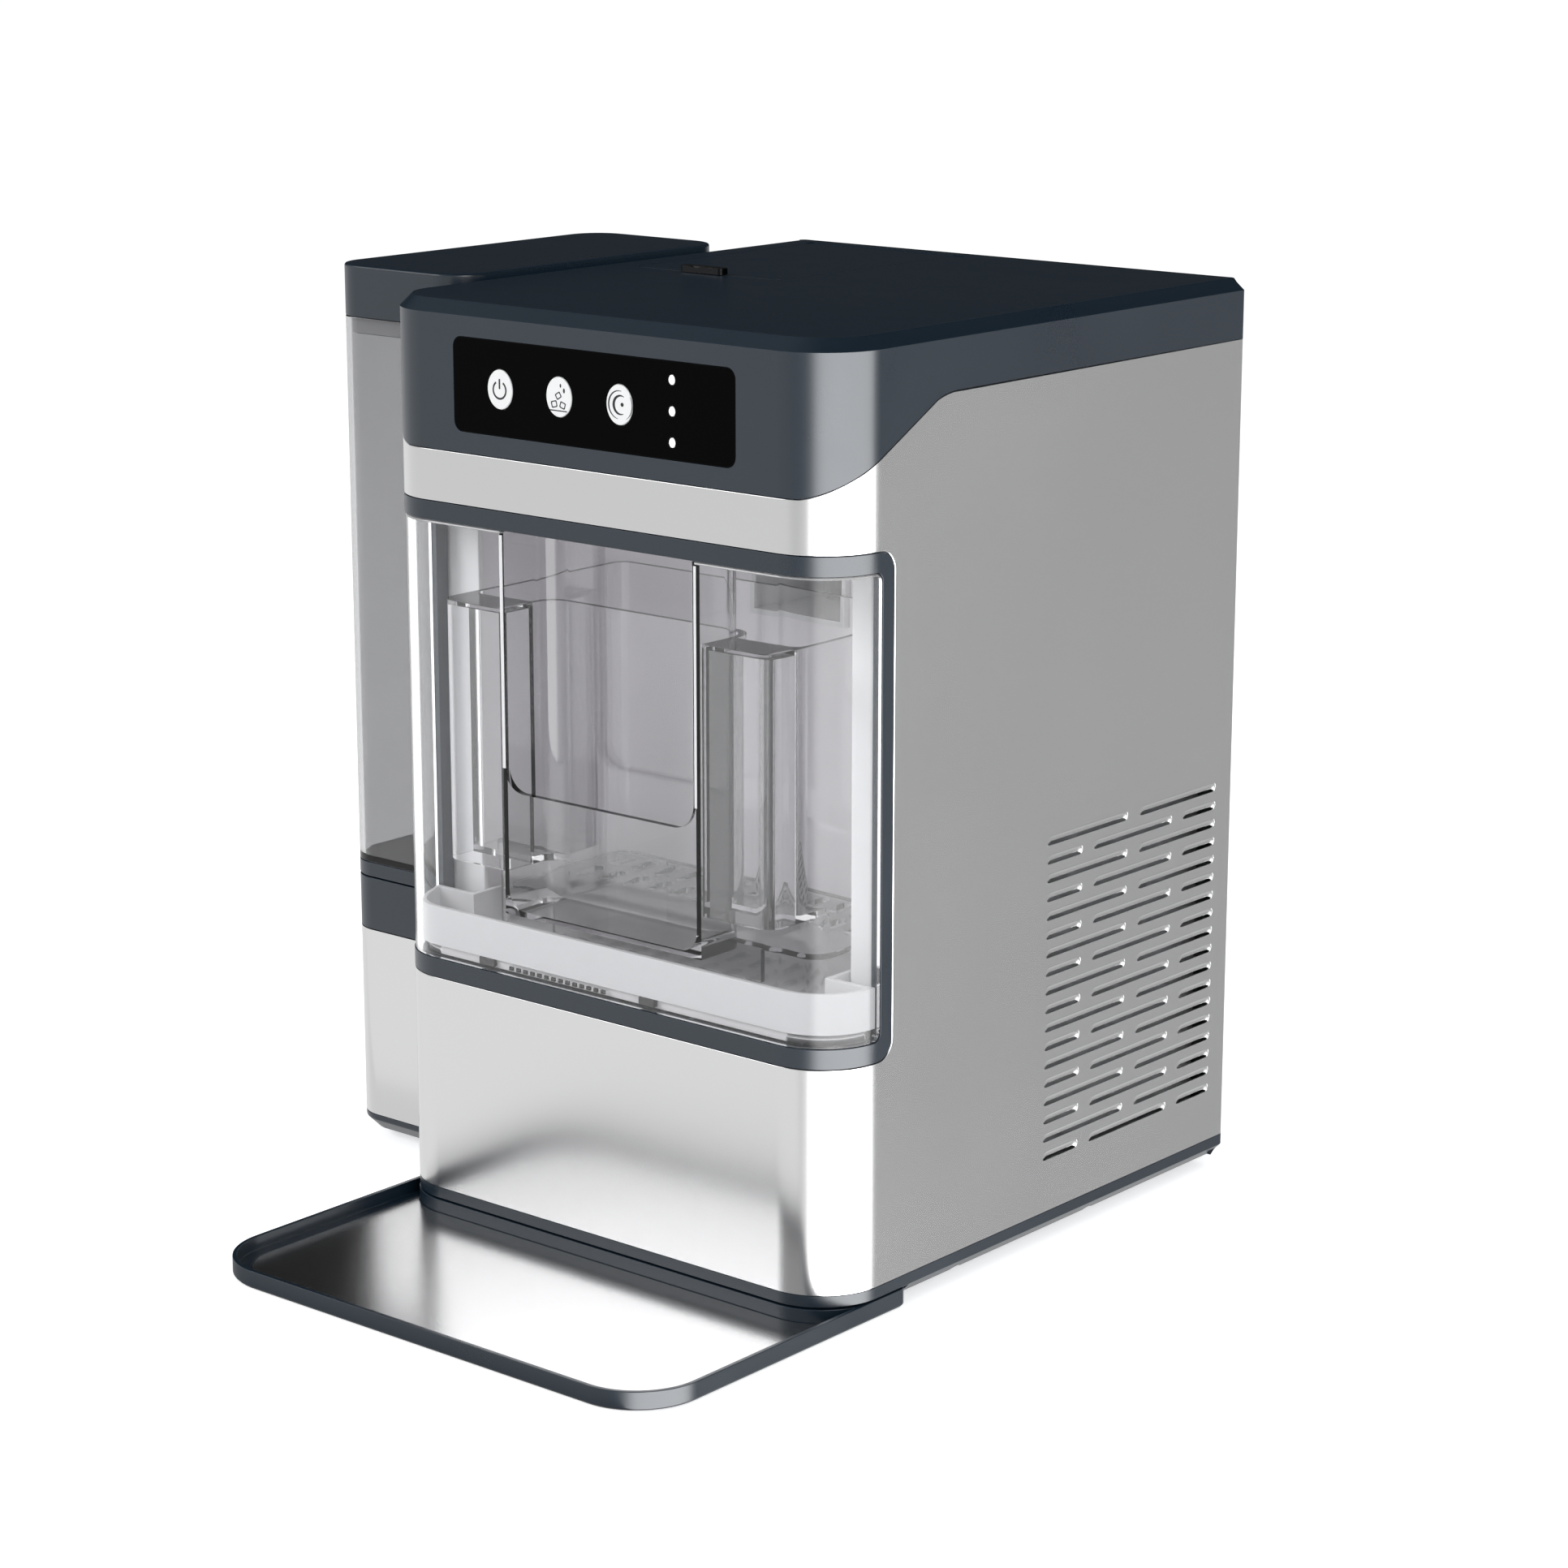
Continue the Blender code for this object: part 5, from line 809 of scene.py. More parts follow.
for index in (-1, 0, 1):
    x = socket_x + index * 0.007
    level = socket_level + (0.0024 if index == 0 else -0.0024)
    pin = block(f"inlet_pin_{index + 2}", (x - 0.001, deep + 0.001, level - 0.0024),
                (x + 0.001, deep + 0.0147, level + 0.0024))
    fasten(eased(pin, 0.0005, 3), "machine", nickel, slot="chrome")

drain_low, drain_high = node_box("drain_cap")
rim, tip, top = (drain_high.x - drain_low.x) / 2, drain_low.y, drain_high.y
fasten(turned("drain_plug", [
    (0.0, tip), (0.0058, tip), (0.0066, tip + 0.001), (0.0069, rear_face + 0.0001), (rim, rear_face + 0.0001),
    (rim, top - 0.0004), (rim - 0.0004, top), (0.0062, top), (0.0058, top - 0.0004), (0.0, top - 0.0004),
], rear_centre(drain_low, drain_high), "Y"), "machine", rubber, "drain_cap", slot="rubber")

# Behind the window a white frame carries the cabinet's liner, a deep lilac grey moulding. The chute opens
# high up in its rear wall, and two white rails on its floor guide the drawer.
liner_grey = moulded("liner_grey", (0.86, 0.83, 0.86), 0.42, grain=0.0009, depth=0.00002, mottle=0.03, wear=0.1)
low, high = node_box("window_frame")
surround = slab(
    "surround", "Y",
    [rounded(low.x, low.z, high.x, high.z, 0.004), rounded(-0.1065, 0.1265, 0.1065, 0.318, 0.004)[::-1]],
    low.y, high.y,
)
fasten(eased(surround, 0.0006, 3), "machine", white_plastic, "window_frame", slot="white_plastic")

low, high = node_box("cabinet_liner")
cabinet = slab("cabinet", "Y", [rounded(-0.114, low.z, 0.114, high.z, 0.008)], low.y, high.y)
carve(
    cabinet,
    slab("room", "Y", [rounded(-0.112, 0.124, 0.112, 0.316, 0.006)], low.y - beyond, high.y - 0.002),
    block("chute_window", (-0.0198, high.y - beyond, 0.2712), (0.0358, high.y + beyond, 0.3068)),
)
fasten(eased(cabinet, 0.0005, 3), "machine", liner_grey, "cabinet_liner", slot="liner")
for side_name in ("left", "right"):
    low, high = node_box("drawer_rail_" + side_name)
    middle = (low.x + high.x) / 2
    rail = block("rail_" + side_name, low, high)
    carve(rail, block("groove", (middle - 0.002, low.y - beyond, high.z - 0.0012),
                      (middle + 0.002, high.y + beyond, high.z + beyond)))
    fasten(eased(rail, 0.0004), "machine", white_plastic, "drawer_rail_" + side_name, slot="white_plastic")

# The dark ring round the drawer's window is one moulding that follows the front and both round corners. It clips
# into the steel from the front and stands level with it.


def front_band(outer, inner, rear):
    """A strip that follows the body's front and both round corners, open to the rear."""
    outside = footprint(outer, rear + outer, 0)
    inside = footprint(inner, rear + inner, 0)
    return outside[:-2] + [(body_half - outer, rear), (body_half - inner, rear)] + (
        inside[:-2][::-1] + [(inner - body_half, rear), (outer - body_half, rear)]
    )


def side_view_frame(low, high, rear, radius):
    """A tool that leaves only what lies inside a round-cornered side view, open to the front."""
    outer = rounded(-2 * beyond, low - beyond, rear + beyond, high + beyond, 0)
    kept = rounded(-beyond, low, rear, high, (0, radius, radius, 0))
    return slab("side_view", "X", [outer, kept[::-1]], -side_reach, side_reach)


shell_low, shell_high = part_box("drawer_front")
shell_rear = 0.0316
ring_low, ring_high = window_low + joint, window_high - joint
ring_rear = window_rear - joint
ring = slab("ring", "Z", [front_band(0, 0.006, ring_rear)], ring_low, ring_high)
carve(
    ring,
    side_view_frame(ring_low, ring_high, ring_rear, window_radius),
    slab("ring_inside", "X",
         [rounded(-2 * beyond, shell_low.z - joint, shell_rear + joint, shell_high.z + joint, (0, 0.004, 0.004, 0))],
         -side_reach, side_reach),
)
fasten(eased(ring, 0.0005, 3), "machine", slate_plastic, "drawer_bezel", slot="dark_plastic")

# The drawer is glued up from clear styrene mouldings: the front shell with its notch and grip pocket, the bin
# with a ledge on each ear, and the slotted grate it drains through. A white base carries them.


def clear_plastic(name, tint, roughness):
    """A clear moulding. Lamps shine through it, as through real styrene."""
    material, nodes, shader = blank(name, Transmission_Weight=1.0, IOR=1.42, Metallic=0.0, Base_Color=(*tint, 1))
    ray = wire(nodes, "LightPath").outputs
    place = place_in(nodes)
    ripple = noise(place, 22.0, 1.0)
    haze = noise(place, 160.0, 4.0)
    feed(shader, [("Roughness", calc("ADD", roughness, between(haze, 0.45, 0.75, 0.0, 0.03)))])
    bumpy(shader, ripple, 0.35, 0.0003)
    lets_light = wire(nodes, "BsdfTransparent", [("Color", (*[c ** 0.5 for c in tint], 1))])
    unseen = calc("MAXIMUM", ray["Is Shadow Ray"], ray["Is Diffuse Ray"])
    mixed = wire(nodes, "MixShader", [
        (0, calc("MULTIPLY", unseen, 0.92)), (1, shader.outputs[0]), (2, lets_light.outputs[0]),
    ])
    feed(nodes["Material Output"], [("Surface", mixed.outputs[0])])
    return material


clear_styrene = clear_plastic("clear_styrene", (0.985, 0.985, 0.99), 0.012)
shell_inset, shell_wall = 0.0004, 0.003
skin = shell_inset + shell_wall
notch_half, notch_low, notch_radius = 0.0545, 0.207, 0.011
pocket_floor, pocket_back, pocket_wall, pocket_radius = 0.1535, 0.034, 0.0025, 0.012
over_drawer = 0.34


def pocket_plan(inset):
    half = notch_half + pocket_wall - inset
    front = shell_inset + shell_wall / 2 - (beyond if inset else 0)
    radius = pocket_radius - inset
    return rounded(-half, front, half, pocket_back - inset, (0, 0, radius, radius))


def open_above(name, floor, radius, near, far):
    """A tool as wide as the notch, with two round corners below and open above."""
    return slab(name, "Y", [rounded(-notch_half, floor, notch_half, over_drawer, (radius, radius, 0, 0))], near, far)


front = slab("clear_front", "Z", [front_band(shell_inset, skin, shell_rear + joint)], shell_low.z - joint,
             shell_high.z + joint)
inside = open_above("inside", pocket_floor, 0.009, skin, pocket_back + beyond)
carve(inside, slab("plan", "Z", [pocket_plan(pocket_wall)], 0.14, over_drawer), operation="INTERSECT")
carve(front, side_view_frame(shell_low.z, shell_high.z, shell_rear, 0.004))
add_to(front, slab("pocket", "Z", [pocket_plan(0)], pocket_floor - pocket_wall, shell_high.z - joint))
carve(front, inside, open_above("notch", notch_low, notch_radius, -beyond, skin + 0.005))
fasten(eased(front, 0.0005, 3), "drawer", clear_styrene, "drawer_front", slot="clear_plastic")

# The shell's skin is welded to the pocket down both sides of the notch, and the weld shows as a milky line.
milky = moulded("milky_weld", (0.78, 0.77, 0.78), 0.5, grain=0.0005, depth=0.000006, mottle=0.06)
sides = (("left", -1), ("right", 1))


def one_side(side, inner, outer):
    """Two distances from the middle plane, on one side of it, the lower first."""
    return sorted((side * inner, side * outer))


for side_name, side in sides:
    near, far = one_side(side, notch_half + 0.0003, notch_half + 0.0016)
    weld = block("weld_" + side_name, (near, 0.0011, notch_low + 0.01), (far, 0.0014, shell_high.z - 0.002))
    fasten(eased(weld, 0), "drawer", milky, slot="clear_plastic")

bin_low, bin_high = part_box("ice_bin")
bin_half, bin_rear, bin_wall, bin_radius = 0.0945, 0.122, 0.0025, 0.008
seat = 0.0006
box_front = pocket_back + seat
ear_front, ear_deep, ear_low = skin + seat, 0.023, 0.17


def box_plan(inset):
    return rounded(inset - bin_half, box_front + inset, bin_half - inset, bin_rear - inset, bin_radius - inset, 15)


def bin_plan(inset, start):
    """The bin seen from above: two ears beside the pocket."""
    half, rear = bin_half - inset, bin_rear - inset
    ear = notch_half + pocket_wall + seat + inset
    middle = box_front + inset
    corner = bin_radius - inset
    points = arc((half - corner, start + corner), corner, 270, 360, 12)
    points += arc((half - corner, rear - corner), corner, 0, 90, 12)
    points += arc((corner - half, rear - corner), corner, 90, 180, 12)
    points += arc((corner - half, start + corner), corner, 180, 270, 12)
    points.append((-ear, start))
    points += arc((pocket_radius - ear, middle - pocket_radius), pocket_radius, 180, 90, 12)
    points += arc((ear - pocket_radius, middle - pocket_radius), pocket_radius, 90, 0, 12)
    points.append((ear, start))
    return points


ice_box = slab("ice_box", "Z", [box_plan(0)], bin_low.z, bin_high.z)
add_to(ice_box, slab("ears", "Z", [bin_plan(0, ear_front)], ear_low, bin_high.z))
carve(
    ice_box,
    slab("box_room", "Z", [box_plan(bin_wall)], bin_low.z + bin_wall, bin_high.z + beyond),
    slab("ear_room", "Z", [bin_plan(bin_wall, ear_deep)], ear_low + bin_wall, bin_high.z + 2 * beyond),
)
ear = notch_half + pocket_wall + seat + bin_wall
for _, side in sides:
    near, far = one_side(side, ear, bin_half - bin_wall)
    carve(ice_box, block("ear_hollow", (near, ear_front + bin_wall, ear_low - beyond),
                         (far, ear_deep - bin_wall, bin_high.z - bin_wall)))
fasten(eased(ice_box, 0.0004, 2), "drawer", clear_styrene, "ice_bin", slot="clear_plastic")

grate_low, grate_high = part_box("bin_grate")
margin = bin_wall + 0.001
half, grate_front, grate_rear, edge = bin_half - margin, box_front + margin, bin_rear - margin, 0.007
pitch = 2 * (half - edge) / 12
slots = []
for index in range(12):
    middle = edge - half + pitch * (index + 0.5)
    for far in (grate_rear - edge, grate_rear - edge - 0.022):
        slots.append(rounded(middle - 0.003, far - 0.016, middle + 0.003, far, 0.0028))
grate = slab("grate", "Z", [rounded(-half, grate_front, half, grate_rear, bin_radius)], grate_high.z - 0.0025,
             grate_high.z)
carve(grate, slab("slots", "Z", slots, grate_high.z - beyond, grate_high.z + beyond))
for y in (grate_front + joint, grate_rear - 0.0025 - joint):
    add_to(grate, block("rib", (0.03 - half, y, grate_low.z), (half - 0.03, y + 0.0025, grate_high.z - 0.00125)))
fasten(eased(grate, 0.0003), "drawer", clear_styrene, "bin_grate", slot="clear_plastic")

# The drawer's base is a shallow white moulding, wide behind the clear front and narrow where it enters the cabinet.
base_low, base_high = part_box("drawer_base")


def apron_plan(inset):
    edge = skin + seat + inset
    side = body_half - edge
    rear = shell_rear - inset
    radius = min(front_radius - edge, rear - edge - joint)
    tail, tail_rear = 0.1045 - inset, 0.1265 - inset
    points = rounded(-side, edge, side, rear, (radius, radius, 0, 0), 24)[:-2]
    return points + [(side, rear), (tail, rear), (tail, tail_rear), (-tail, tail_rear), (-tail, rear), (-side, rear)]


apron = slab("apron", "Z", [apron_plan(0)], base_low.z, base_high.z)
carve(apron, slab("apron_room", "Z", [apron_plan(0.0025)], base_low.z + 0.003, base_high.z + beyond))
# The apron is the same white plastic painted darker: painted shade, as it sits behind the clear front.
shaded_apron_white = moulded("shaded_apron_white", (0.6, 0.6, 0.61), 0.38, grain=0.0005, depth=0.000006, mottle=0.03, wear=0.1)
fasten(eased(apron, 0.0005, 3), "drawer", shaded_apron_white, "drawer_base", slot="white_plastic")

# Frosted edges. The tops of the ears are spark-eroded so that a hand gets a grip, and so are the row of small
# ribs under the apron, where two dark clips hold the shell against a white strip. The shell's top edge is milky.
frosted, nodes, shader = blank("frosted_styrene", Transmission_Weight=0.15, IOR=1.42, Metallic=0.0)
place = place_in(nodes)
speckle = wire(nodes, "TexVoronoi", [("Vector", place), ("Scale", 850.0)]).outputs["Distance"]
cloud = noise(place, 420.0, 3.0)
shade = calc("MULTIPLY", between(speckle, 0.24, 0.1, 0.01, 0.5), between(cloud, 0.35, 0.65, 0.5, 1.3))
feed(shader, [
    ("Base Color", tinted((1.0, 0.98, 1.0), shade)), ("Roughness", between(cloud, 0.3, 0.7, 0.35, 0.6)),
])
bumpy(shader, speckle, 0.6, 0.0002)

for side_name, side in sides:
    near, far = one_side(side, ear + 0.0005, bin_half - 0.003)
    ledge = slab("ledge_" + side_name, "Z", [rounded(near, ear_front + 0.0008, far, ear_deep - 0.0004, 0.0012)],
                 bin_high.z - 0.0004, bin_high.z - 0.0001)
    fasten(eased(ledge, 0), "drawer", frosted, slot="clear_plastic")
crown = slab("crown", "Z", [front_band(shell_inset + 0.0004, skin - 0.0004, shell_rear - 0.0006)],
             shell_high.z - 0.0012, shell_high.z - 0.0003)
carve(crown, block("crown_gap", (-notch_half - 0.001, -beyond, 0.2), (notch_half + 0.001, 0.01, 0.4)),
      side_view_frame(shell_low.z + 0.0006, shell_high.z, shell_rear - 0.0006, 0.004))
fasten(eased(crown, 0), "drawer", milky, slot="clear_plastic")
lower_strip = slab("lower_strip", "Z", [front_band(skin + 0.0031, skin + 0.0037, shell_rear - 0.003)],
                   shell_low.z + 0.0004, base_low.z - 0.0003)
fasten(eased(lower_strip, 0), "drawer", milky, slot="white_plastic")
clip_level, clip_middle = shell_low.z + 0.0012, skin + 0.0016
for index, x in enumerate((-0.07, 0.025)):
    clip = block(f"shell_clip_{index}", (x - 0.0045, clip_middle - 0.0012, clip_level),
                 (x + 0.0045, clip_middle + 0.0012, clip_level + 0.0036))
    fasten(eased(clip, 0.0004, 2), "drawer", black_plastic, slot="black_plastic")
rib_starts = [-0.056 + index * 0.0042 for index in range(14)]
rib_row = slab("rib_row", "Z", [rounded(x, skin + 0.0003, x + 0.0024, skin + 0.0012, 0.0002) for x in rib_starts],
               clip_level + 0.0006, clip_level + 0.0022)
fasten(eased(rib_row, 0), "drawer", frosted, slot="clear_plastic")

# The top cover is a hollow moulding with a broad chamfer round its top. Its front is the fascia, with a seat for
# the control panel, and its top has the opening of the lid with two hinge bosses at the rear.
cover_wall, cover_chamfer = 0.003, 0.0054
panel_sides, panel_levels = (-0.0803, 0.0785), (0.3628, 0.4034)
cover = chamfered(slab("cover", "Z", [footprint(0)], fascia_low, body_top), body_top, cover_chamfer)


def panel_outline(inset):
    (left, right), (low, high) = panel_sides, panel_levels
    return rounded(left + inset, low + inset, right - inset, high - inset, 0.0045 - min(inset, 0.003))


lid_left, lid_right, lid_front, lid_level = -0.111, -0.0245, 0.1495, 0.4157
hinge_y, hinge_z, knuckle_radius, pin_bore_radius = 0.2792, 0.4145, 0.0028, 0.0018
hinge_axis = (hinge_y, hinge_z)
left_boss, right_boss = (-0.119, -0.115), (-0.0187, -0.0147)
pin_gap_front, pin_gap_rear = 0.2759, 0.2831
lid_opening = arc((-0.105, 0.1555), 0.0065, 180, 270) + arc((-0.0305, 0.1555), 0.0065, 270, 360) + [
    (-0.024, pin_gap_front), (right_boss[0], pin_gap_front), (right_boss[0], pin_gap_rear),
    (left_boss[1], pin_gap_rear), (left_boss[1], pin_gap_front), (-0.1115, pin_gap_front),
]
cover_room = slab("cover_room", "Z", [footprint(cover_wall)], fascia_low - beyond, body_top - cover_wall)
carve(
    cover,
    slab("below", "X", [under_fascia(0, fascia_low - beyond)], -side_reach, side_reach),
    chamfered(cover_room, body_top - cover_wall, cover_chamfer),
    slab("lid_gap", "Z", [lid_opening], body_top - cover_wall - beyond, body_top + beyond),
    slab("panel_seat", "Y", [panel_outline(-joint)], -beyond, 0.0015),
    slab("panel_back", "Y", [panel_outline(0.0035)], -beyond, cover_wall + beyond),
)
for x in panel_sides:
    for level in panel_levels:
        add_to(cover, round_bar("post", "Y", (x, level), 0.0024, 0.0024, 0.0087, 24))
for left, right in (left_boss, right_boss):
    add_to(cover, block("boss", (left, hinge_y - knuckle_radius, hinge_z - knuckle_radius),
                       (right, hinge_y + knuckle_radius, body_top - cover_wall / 2)))
carve(cover, round_bar("pin_bore", "X", hinge_axis, pin_bore_radius, -0.117, -0.0167, 24))
fasten(eased(cover, 0.0006, 3, angle=40), "machine", slate_plastic, "top_cover", slot="dark_plastic")

# The lid over the filling opening lies flush in the cover and turns on a steel pin. A chrome tab is pushed
# into a slot in its front edge; its dark colour is a painted reflection of the dark surroundings that chrome mirrors.
lid_plan = arc((lid_left + 0.006, lid_front + 0.006), 0.006, 180, 270)
lid_plan += arc((lid_right - 0.006, lid_front + 0.006), 0.006, 270, 360)
lid_plan += [(lid_right, hinge_y), (lid_left, hinge_y)]
lid = slab("lid", "Z", [lid_plan], lid_level, body_top)
add_to(lid, round_bar("knuckle", "X", hinge_axis, knuckle_radius, lid_left + 0.008, lid_right - 0.008))
carve(
    lid,
    block("tab_slot", (-0.0763, 0.1506, lid_level - beyond), (-0.0587, 0.1515, body_top + beyond)),
    round_bar("knuckle_bore", "X", hinge_axis, pin_bore_radius, lid_left - beyond, lid_right + beyond, 24),
)
fasten(eased(lid, 0.0004, 3), "lid", slate_plastic, "top_lid", slot="dark_plastic")

# The chrome is painted dark: a painted reflection of dark surroundings, with its rounded edges left to catch the
# softbox.
chrome_painted_dark = metal("chrome_painted_dark", (0.042, 0.042, 0.044), 0.13, along=(300.0, 300.0, 300.0), lines=0.02, wear=0.1)
tab_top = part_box("lid_tab")[1].z
tab = slab("tab", "Z", [rounded(-0.08, 0.1455, -0.055, 0.1515, 0.002)], 0.4182, tab_top)
add_to(tab, block("tab_foot", (-0.076, 0.1509, lid_level), (-0.059, 0.1512, 0.4195)))
carve(tab, slab("finger_groove", "Y", [arc((-0.0675, 0.45), 0.0297, 240, 300, 32)], 0.144, 0.1475))
fasten(eased(tab, 0.0008, 4), "lid", chrome_painted_dark, "lid_tab", slot="chrome")
pin = turned("hinge_pin", [
    (0.0, -0.1167), (0.0012, -0.1167), (0.0015, -0.1162), (0.0015, -0.0175), (0.0012, -0.017), (0.0, -0.017),
], hinge_axis, "X", 24)
fasten(pin, "machine", bright_screw, "lid_pin", slot="chrome")

# The control panel is a sheet of gloss black acrylic set into the fascia. Three white buttons and three small
# lenses come through it, and the board with its switches stands behind it.
gloss_black = moulded(
    "gloss_black", (0.0012, 0.0012, 0.0013), 0.16, grain=0.002, depth=0.000002, mottle=0.02, wear=0.2,
    Specular_IOR_Level=0.03,
)
button_places = {"power": -0.0529, "ice": -0.0187, "clean": 0.0155}
button_level, button_prouder, lens_x = 0.3828, 0.0004, 0.0442
lens_places = {"power": 0.3957, "water": 0.38275, "full": 0.3698}
holes = [oval(x, button_level, 0.015, 0.0176)[::-1] for x in button_places.values()]
holes += [oval(lens_x, level, 0.0041, 0.0048, 32)[::-1] for level in lens_places.values()]
panel = slab("panel", "Y", [panel_outline(0)] + holes, 0, 0.0012)
fasten(eased(panel, 0.00025, 3), "machine", gloss_black, "control_panel", slot="gloss_black")

button_white = moulded("button_white", (0.8, 0.8, 0.8), 0.34, grain=0.0004, depth=0.000005, mottle=0.02)
icon_ink = moulded("icon_ink", (0.012, 0.012, 0.014), 0.45, grain=0.0003, depth=0.000004, mottle=0.05)

for name, x in button_places.items():
    # A cap with a softly rounded rim, the flange that keeps it in and the stem to its switch.
    cap = slab(name + "_cap", "Y", [oval(x, button_level, 0.0144, 0.017)], -button_prouder, 0.0021)
    eased(cap, 0.0005, 4)
    flange = slab("flange", "Y", [oval(x, button_level, 0.0168, 0.0194)], 0.0015, 0.0027)
    stem = round_bar("stem", "Y", (x, button_level), 0.0022, 0.0021, 0.0063, 24)
    add_to(cap, flange, stem)
    fasten(cap, name + "_button", button_white, "button_" + name, slot="white_plastic")


def ring_part(x, level, radius, thick, start, end, steps=40):
    """A curved stroke, thick in its middle and tapering when two thicknesses are given."""
    ends, middle = thick if isinstance(thick, tuple) else (thick, thick)
    outside, inside = [], []
    for step in range(steps + 1):
        share = step / steps
        angle = math.radians(start + (end - start) * share)
        half = (ends + (middle - ends) * math.sin(math.pi * share)) / 2
        for points, reach in ((outside, radius + half), (inside, radius - half)):
            points.append((x + reach * math.cos(angle), level + reach * math.sin(angle)))
    return outside + inside[::-1]


def printed(name, body, outlines):
    """A pictogram printed in a thick dark ink on a button."""
    ink = slab(name, "Y", outlines, -button_prouder - 0.00003, 0.0001 - button_prouder)
    fasten(ink, body, icon_ink, slot="black_plastic")


# The pictograms: a broken ring with a bar, a heap of ice lumps under two drops, and a swirl.
x = button_places["power"]
printed("on_off_picture", "power_button", [
    ring_part(x, button_level - 0.0002, 0.0037, 0.00085, 122, 418),
    rounded(x - 0.00045, button_level + 0.0002, x + 0.00045, button_level + 0.0046, 0.0003),
])


def lump(x, level, width, turn):
    """A rounded lump of ice drawn as a thin tilted frame."""
    cos, sin = math.cos(math.radians(turn)), math.sin(math.radians(turn))
    outlines = []
    for half, order in ((width / 2, 1), (width / 2 - 0.00058, -1)):
        corners = rounded(-half, -half * 0.86, half, half * 0.86, half * 0.36, 6)
        tilted = [(x + across * cos - up * sin, level + across * sin + up * cos) for across, up in corners]
        outlines.append(tilted[::order])
    return outlines


x = button_places["ice"]
printed(
    "ice_picture", "ice_button",
    lump(x - 0.0025, button_level - 0.0031, 0.0034, 14) + lump(x + 0.0023, button_level - 0.0033, 0.0033, -18)
    + lump(x - 0.0001, button_level + 0.0006, 0.0032, 32)
    + [oval(x + 0.0032, button_level + 0.0029, 0.0011, 0.0021, 20),
       oval(x + 0.0012, button_level + 0.0049, 0.0009, 0.0017, 20),
       rounded(x - 0.005, button_level - 0.006, x + 0.0048, button_level - 0.0055, 0.0002)],
)
x = button_places["clean"]
printed("swirl_picture", "clean_button", [
    ring_part(x + 0.0002, button_level, 0.0059, (0.0002, 0.00075), 78, 262),
    ring_part(x + 0.001, button_level, 0.0039, (0.00025, 0.0013), 62, 292),
    ring_part(x + 0.0005, button_level + 0.0001, 0.0068, (0.0001, 0.00035), 300, 392),
    oval(x + 0.0018, button_level + 0.0002, 0.0017, 0.0017, 24),
])

lit_white = moulded(
    "lit_white", (0.85, 0.85, 0.85), 0.25, grain=0.0004, depth=0.000003, mottle=0.01,
    Emission_Color=(1, 1, 1, 1), Emission_Strength=0.35,
)
for lens_name, level in lens_places.items():
    lens = slab("lens_" + lens_name + "_light", "Y", [oval(lens_x, level, 0.0035, 0.0042, 32)], 0, 0.0087)
    fasten(eased(lens, 0.0005, 4), "machine", lit_white, "lens_" + lens_name, slot="lens")
coat(moulded("board_green", (0.01, 0.055, 0.022), 0.35, grain=0.0012, depth=0.000008, mottle=0.2), "control_board")

# The drip tray slides under the base from the front. Its rim is a dark moulding with a thin wall, a ledge all
# round and a rear edge that follows the body, and a satin steel plate lies on its floor.
rim_low, rim_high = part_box("tray_rim")
tray_reach, tray_tongue = 0.1165, 0.0527
plate_low, plate_high = 0.0015, 0.0024


def tray_outline(inset):
    front, rear = 0.0315 - inset, max(0.006 - inset, 0)
    return rounded(inset - body_half, inset - tray_reach, body_half - inset, tray_tongue - inset,
                   (front, front, rear, rear), 24)


def tray_well(inset, floor_level):
    well = slab("well", "Z", [tray_outline(inset)], floor_level, rim_high.z + beyond)
    return carve(well, slab("rear_of_well", "Z", [footprint(-0.0004)], floor_level - beyond,
                            rim_high.z + 2 * beyond))


rim = chamfered(slab("rim", "Z", [tray_outline(0)], rim_low.z, rim_high.z), rim_low.z, 0.0011)
carve(rim, tray_well(0.002, plate_high))
# A line down the middle of every face leaves two plain faces where the deeper well is cut inside one.
with reshaping(rim.data) as work:
    bmesh.ops.bisect_plane(
        work, geom=[*work.verts, *work.edges, *work.faces], plane_co=(0, 0, 0), plane_no=(1, 0, 0)
    )
carve(rim, tray_well(0.008, 0.0012))
fasten(eased(rim, 0.0004, 3, merged=False), "drip_tray", slate_plastic, "tray_rim", slot="dark_plastic")

plate_steel = metal(
    "plate_steel", (0.68, 0.68, 0.685), 0.22, along=(2.0, 900.0, 2.0), lines=0.012, depth=0.000001, wear=0.4
)
plate = slab("plate", "Z", [tray_outline(0.0083)], plate_low, plate_high)
carve(plate, slab("plate_edge", "Z", [footprint(-0.0007)], -beyond, rim_high.z + beyond))
fasten(eased(plate, 0.0003, 3), "drip_tray", plate_steel, "tray_plate", slot="tray_steel")

# The stand beside the body: two rubber pads, a dark foot with a deep chamfer, a pedestal folded from the same
# satin steel, and the dark dock with the spigot that the tank's neck drops into.
for place_name in ("front", "rear"):
    foot("stand_pad_" + place_name, "pedestal_pad_" + place_name)

tank_low, tank_high = node_box("tank_body")
tank_x, tank_y = tank_middle = ((tank_low.x + tank_high.x) / 2, (tank_low.y + tank_high.y) / 2)
tank_radius = 0.0175


def tank_outline(inset):
    return rounded(tank_low.x + inset, tank_low.y + inset, tank_high.x - inset, tank_high.y - inset,
                   tank_radius - inset, 22)


def tank_slab(name, inset, low, high, hole=None):
    """A slab with the tank's outline drawn in by an inset, or a ring of it with a second inset."""
    outlines = [tank_outline(inset)] + ([] if hole is None else [tank_outline(hole)[::-1]])
    return slab(name, "Z", outlines, low, high)


def tank_bar(name, radius, low, high, sides):
    return round_bar(name, "Z", tank_middle, radius, low, high, sides)


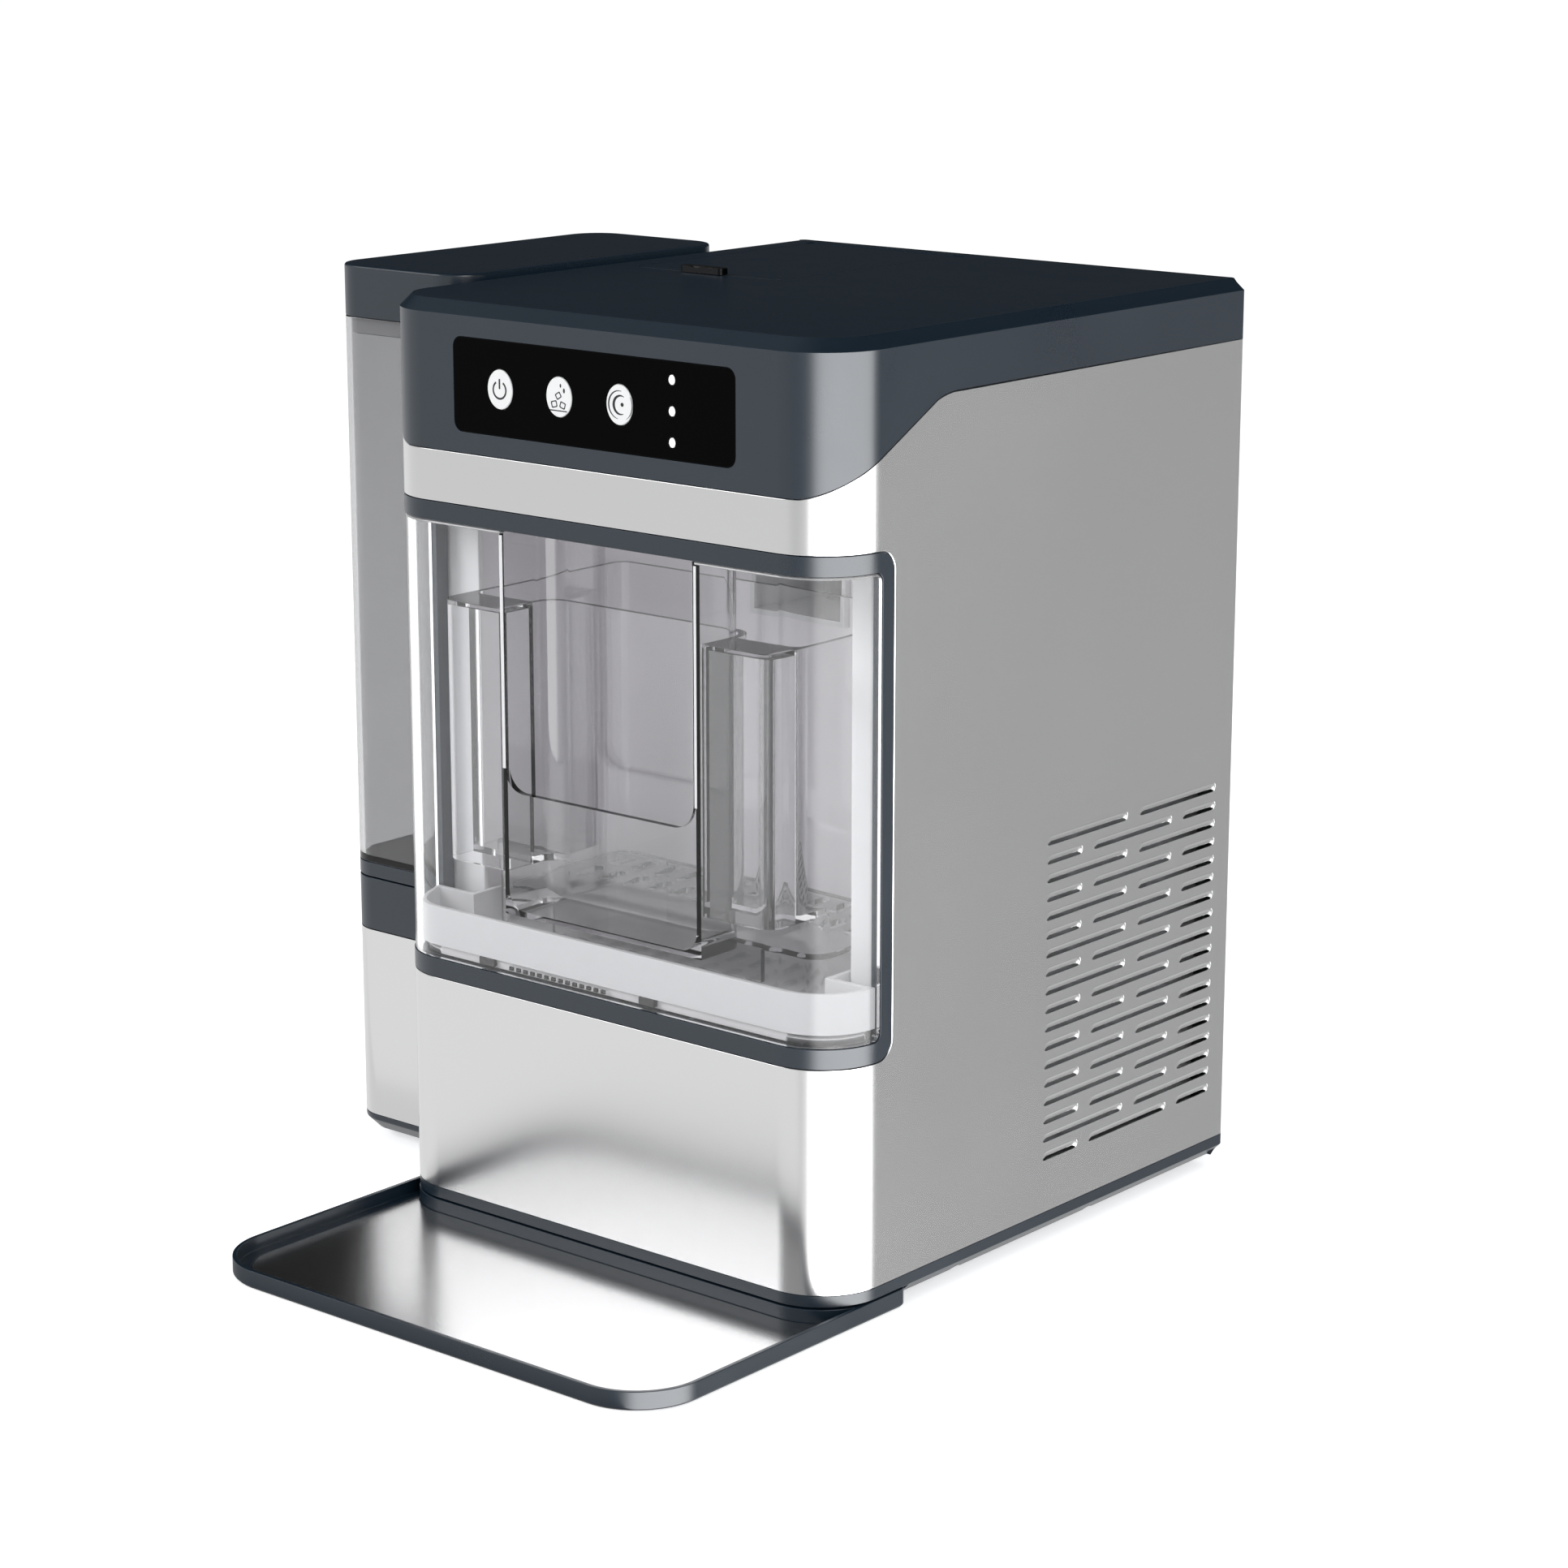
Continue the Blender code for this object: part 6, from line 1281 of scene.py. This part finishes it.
foot_low, foot_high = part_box("pedestal_foot")
stand_foot = chamfered(tank_slab("stand_foot", 0, foot_low.z, foot_high.z), foot_low.z, 0.006)
carve(stand_foot, tank_slab("foot_hollow", 0.008, foot_low.z + 0.003, foot_high.z + beyond))
fasten(eased(stand_foot, 0.0005, 3), "machine", slate_plastic, "pedestal_foot", slot="dark_plastic")

pedestal_low, pedestal_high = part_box("pedestal")
column = tank_slab("column", 0, pedestal_low.z, pedestal_high.z, 0.002)
carve(column, *through_wall((tank_high.x - beyond, tank_high.x + beyond)))
fasten(eased(column, 0.0003), "machine", satin_steel, "pedestal", slot="brushed_steel")

dock_low, dock_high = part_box("tank_dock")
dock_floor = dock_low.z + 0.004
dock = tank_slab("dock", 0, dock_low.z, dock_high.z)
carve(dock, tank_slab("dock_hollow", 0.003, dock_floor, dock_high.z + beyond))
add_to(dock, tank_bar("spigot", 0.016, dock_floor - 0.002, 0.1262, 64))
carve(dock, tank_bar("spigot_bore", 0.0125, dock_floor, 0.14, 64))
add_to(dock, tank_bar("post", 0.0025, dock_floor - 0.002, 0.118, 32))
carve(dock, round_bar("drain", "Z", (tank_x, tank_y - 0.0075), 0.002, 0.095, 0.115, 24))
fasten(eased(dock, 0.0005, 3), "machine", slate_plastic, "tank_dock", slot="dark_plastic")

# The tank is a clear moulding on a dark collar, whose neck reaches down into the dock. A rubber valve closes the
# neck until the dock's post lifts it.
collar_low, collar_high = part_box("tank_collar")
skirt_low, wide_bore_low = 0.1313, 0.127
collar = tank_slab("collar", 0, skirt_low, collar_high.z)
carve(collar, tank_slab("collar_hollow", 0.003, skirt_low - beyond, collar_high.z - 0.0022))
add_to(collar, tank_bar("neck", 0.0105, collar_low.z, collar_high.z - 0.0011, 64))
carve(
    collar,
    tank_bar("neck_bore", 0.006, wide_bore_low, collar_high.z + beyond, 48),
    tank_bar("neck_seat", 0.0032, collar_low.z - beyond, collar_high.z, 48),
)
fasten(eased(collar, 0.0005, 3), "tank", slate_plastic, "tank_collar", slot="dark_plastic")

valve_low, valve_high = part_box("tank_valve")
valve = turned("valve_plug", [
    (0.0, valve_low.z), (0.0016, valve_low.z), (0.002, valve_low.z + 0.0004), (0.002, 0.1273), (0.0045, 0.1273),
    (0.0052, 0.1279), (0.0052, 0.1294), (0.0046, 0.13), (0.002, 0.13), (0.002, valve_high.z - 0.0004),
    (0.0016, valve_high.z), (0.0, valve_high.z),
], tank_middle, "Z", 32)
fasten(valve, "valve", rubber, "tank_valve", slot="rubber")

clear_san = clear_plastic("clear_san", (0.5, 0.5, 0.505), 0.02)
tank_wall = 0.0025
tank = tank_slab("clear_tank", 0, tank_low.z, tank_high.z)
carve(
    tank,
    tank_slab("tank_room", tank_wall, tank_low.z + tank_wall, tank_high.z + beyond),
    tank_bar("tank_drain", 0.0063, tank_low.z - beyond, tank_low.z + beyond, 48),
)
fasten(eased(tank, 0.0004, 3), "tank", clear_san, "tank_body", slot="clear_plastic")

# The tank's lid is a dark cap with a lip that fits inside the walls. A pale silicone seal is stretched round the
# lip and shows through the clear wall.
cap_low, cap_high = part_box("tank_cap")
lip_inset = 0.0038
cap = chamfered(tank_slab("cap", 0, tank_high.z + joint, cap_high.z), cap_high.z, 0.0012, 3)
add_to(cap, tank_slab("lip", lip_inset, cap_low.z, tank_high.z + 0.002))
carve(cap, tank_slab("cap_hollow", 0.005, cap_low.z - beyond, cap_high.z - 0.003))
fasten(eased(cap, 0.0003, 2), "cap", slate_plastic, "tank_cap", slot="dark_plastic")
silicone = moulded("silicone", (0.62, 0.62, 0.63), 0.42, grain=0.0006, depth=0.000008, mottle=0.03)
seal = tank_slab("cap_seal", 0.003, cap_low.z + 0.0004, tank_high.z - 0.0004, lip_inset)
fasten(eased(seal, 0.0002, 2), "cap", silicone, slot="rubber")
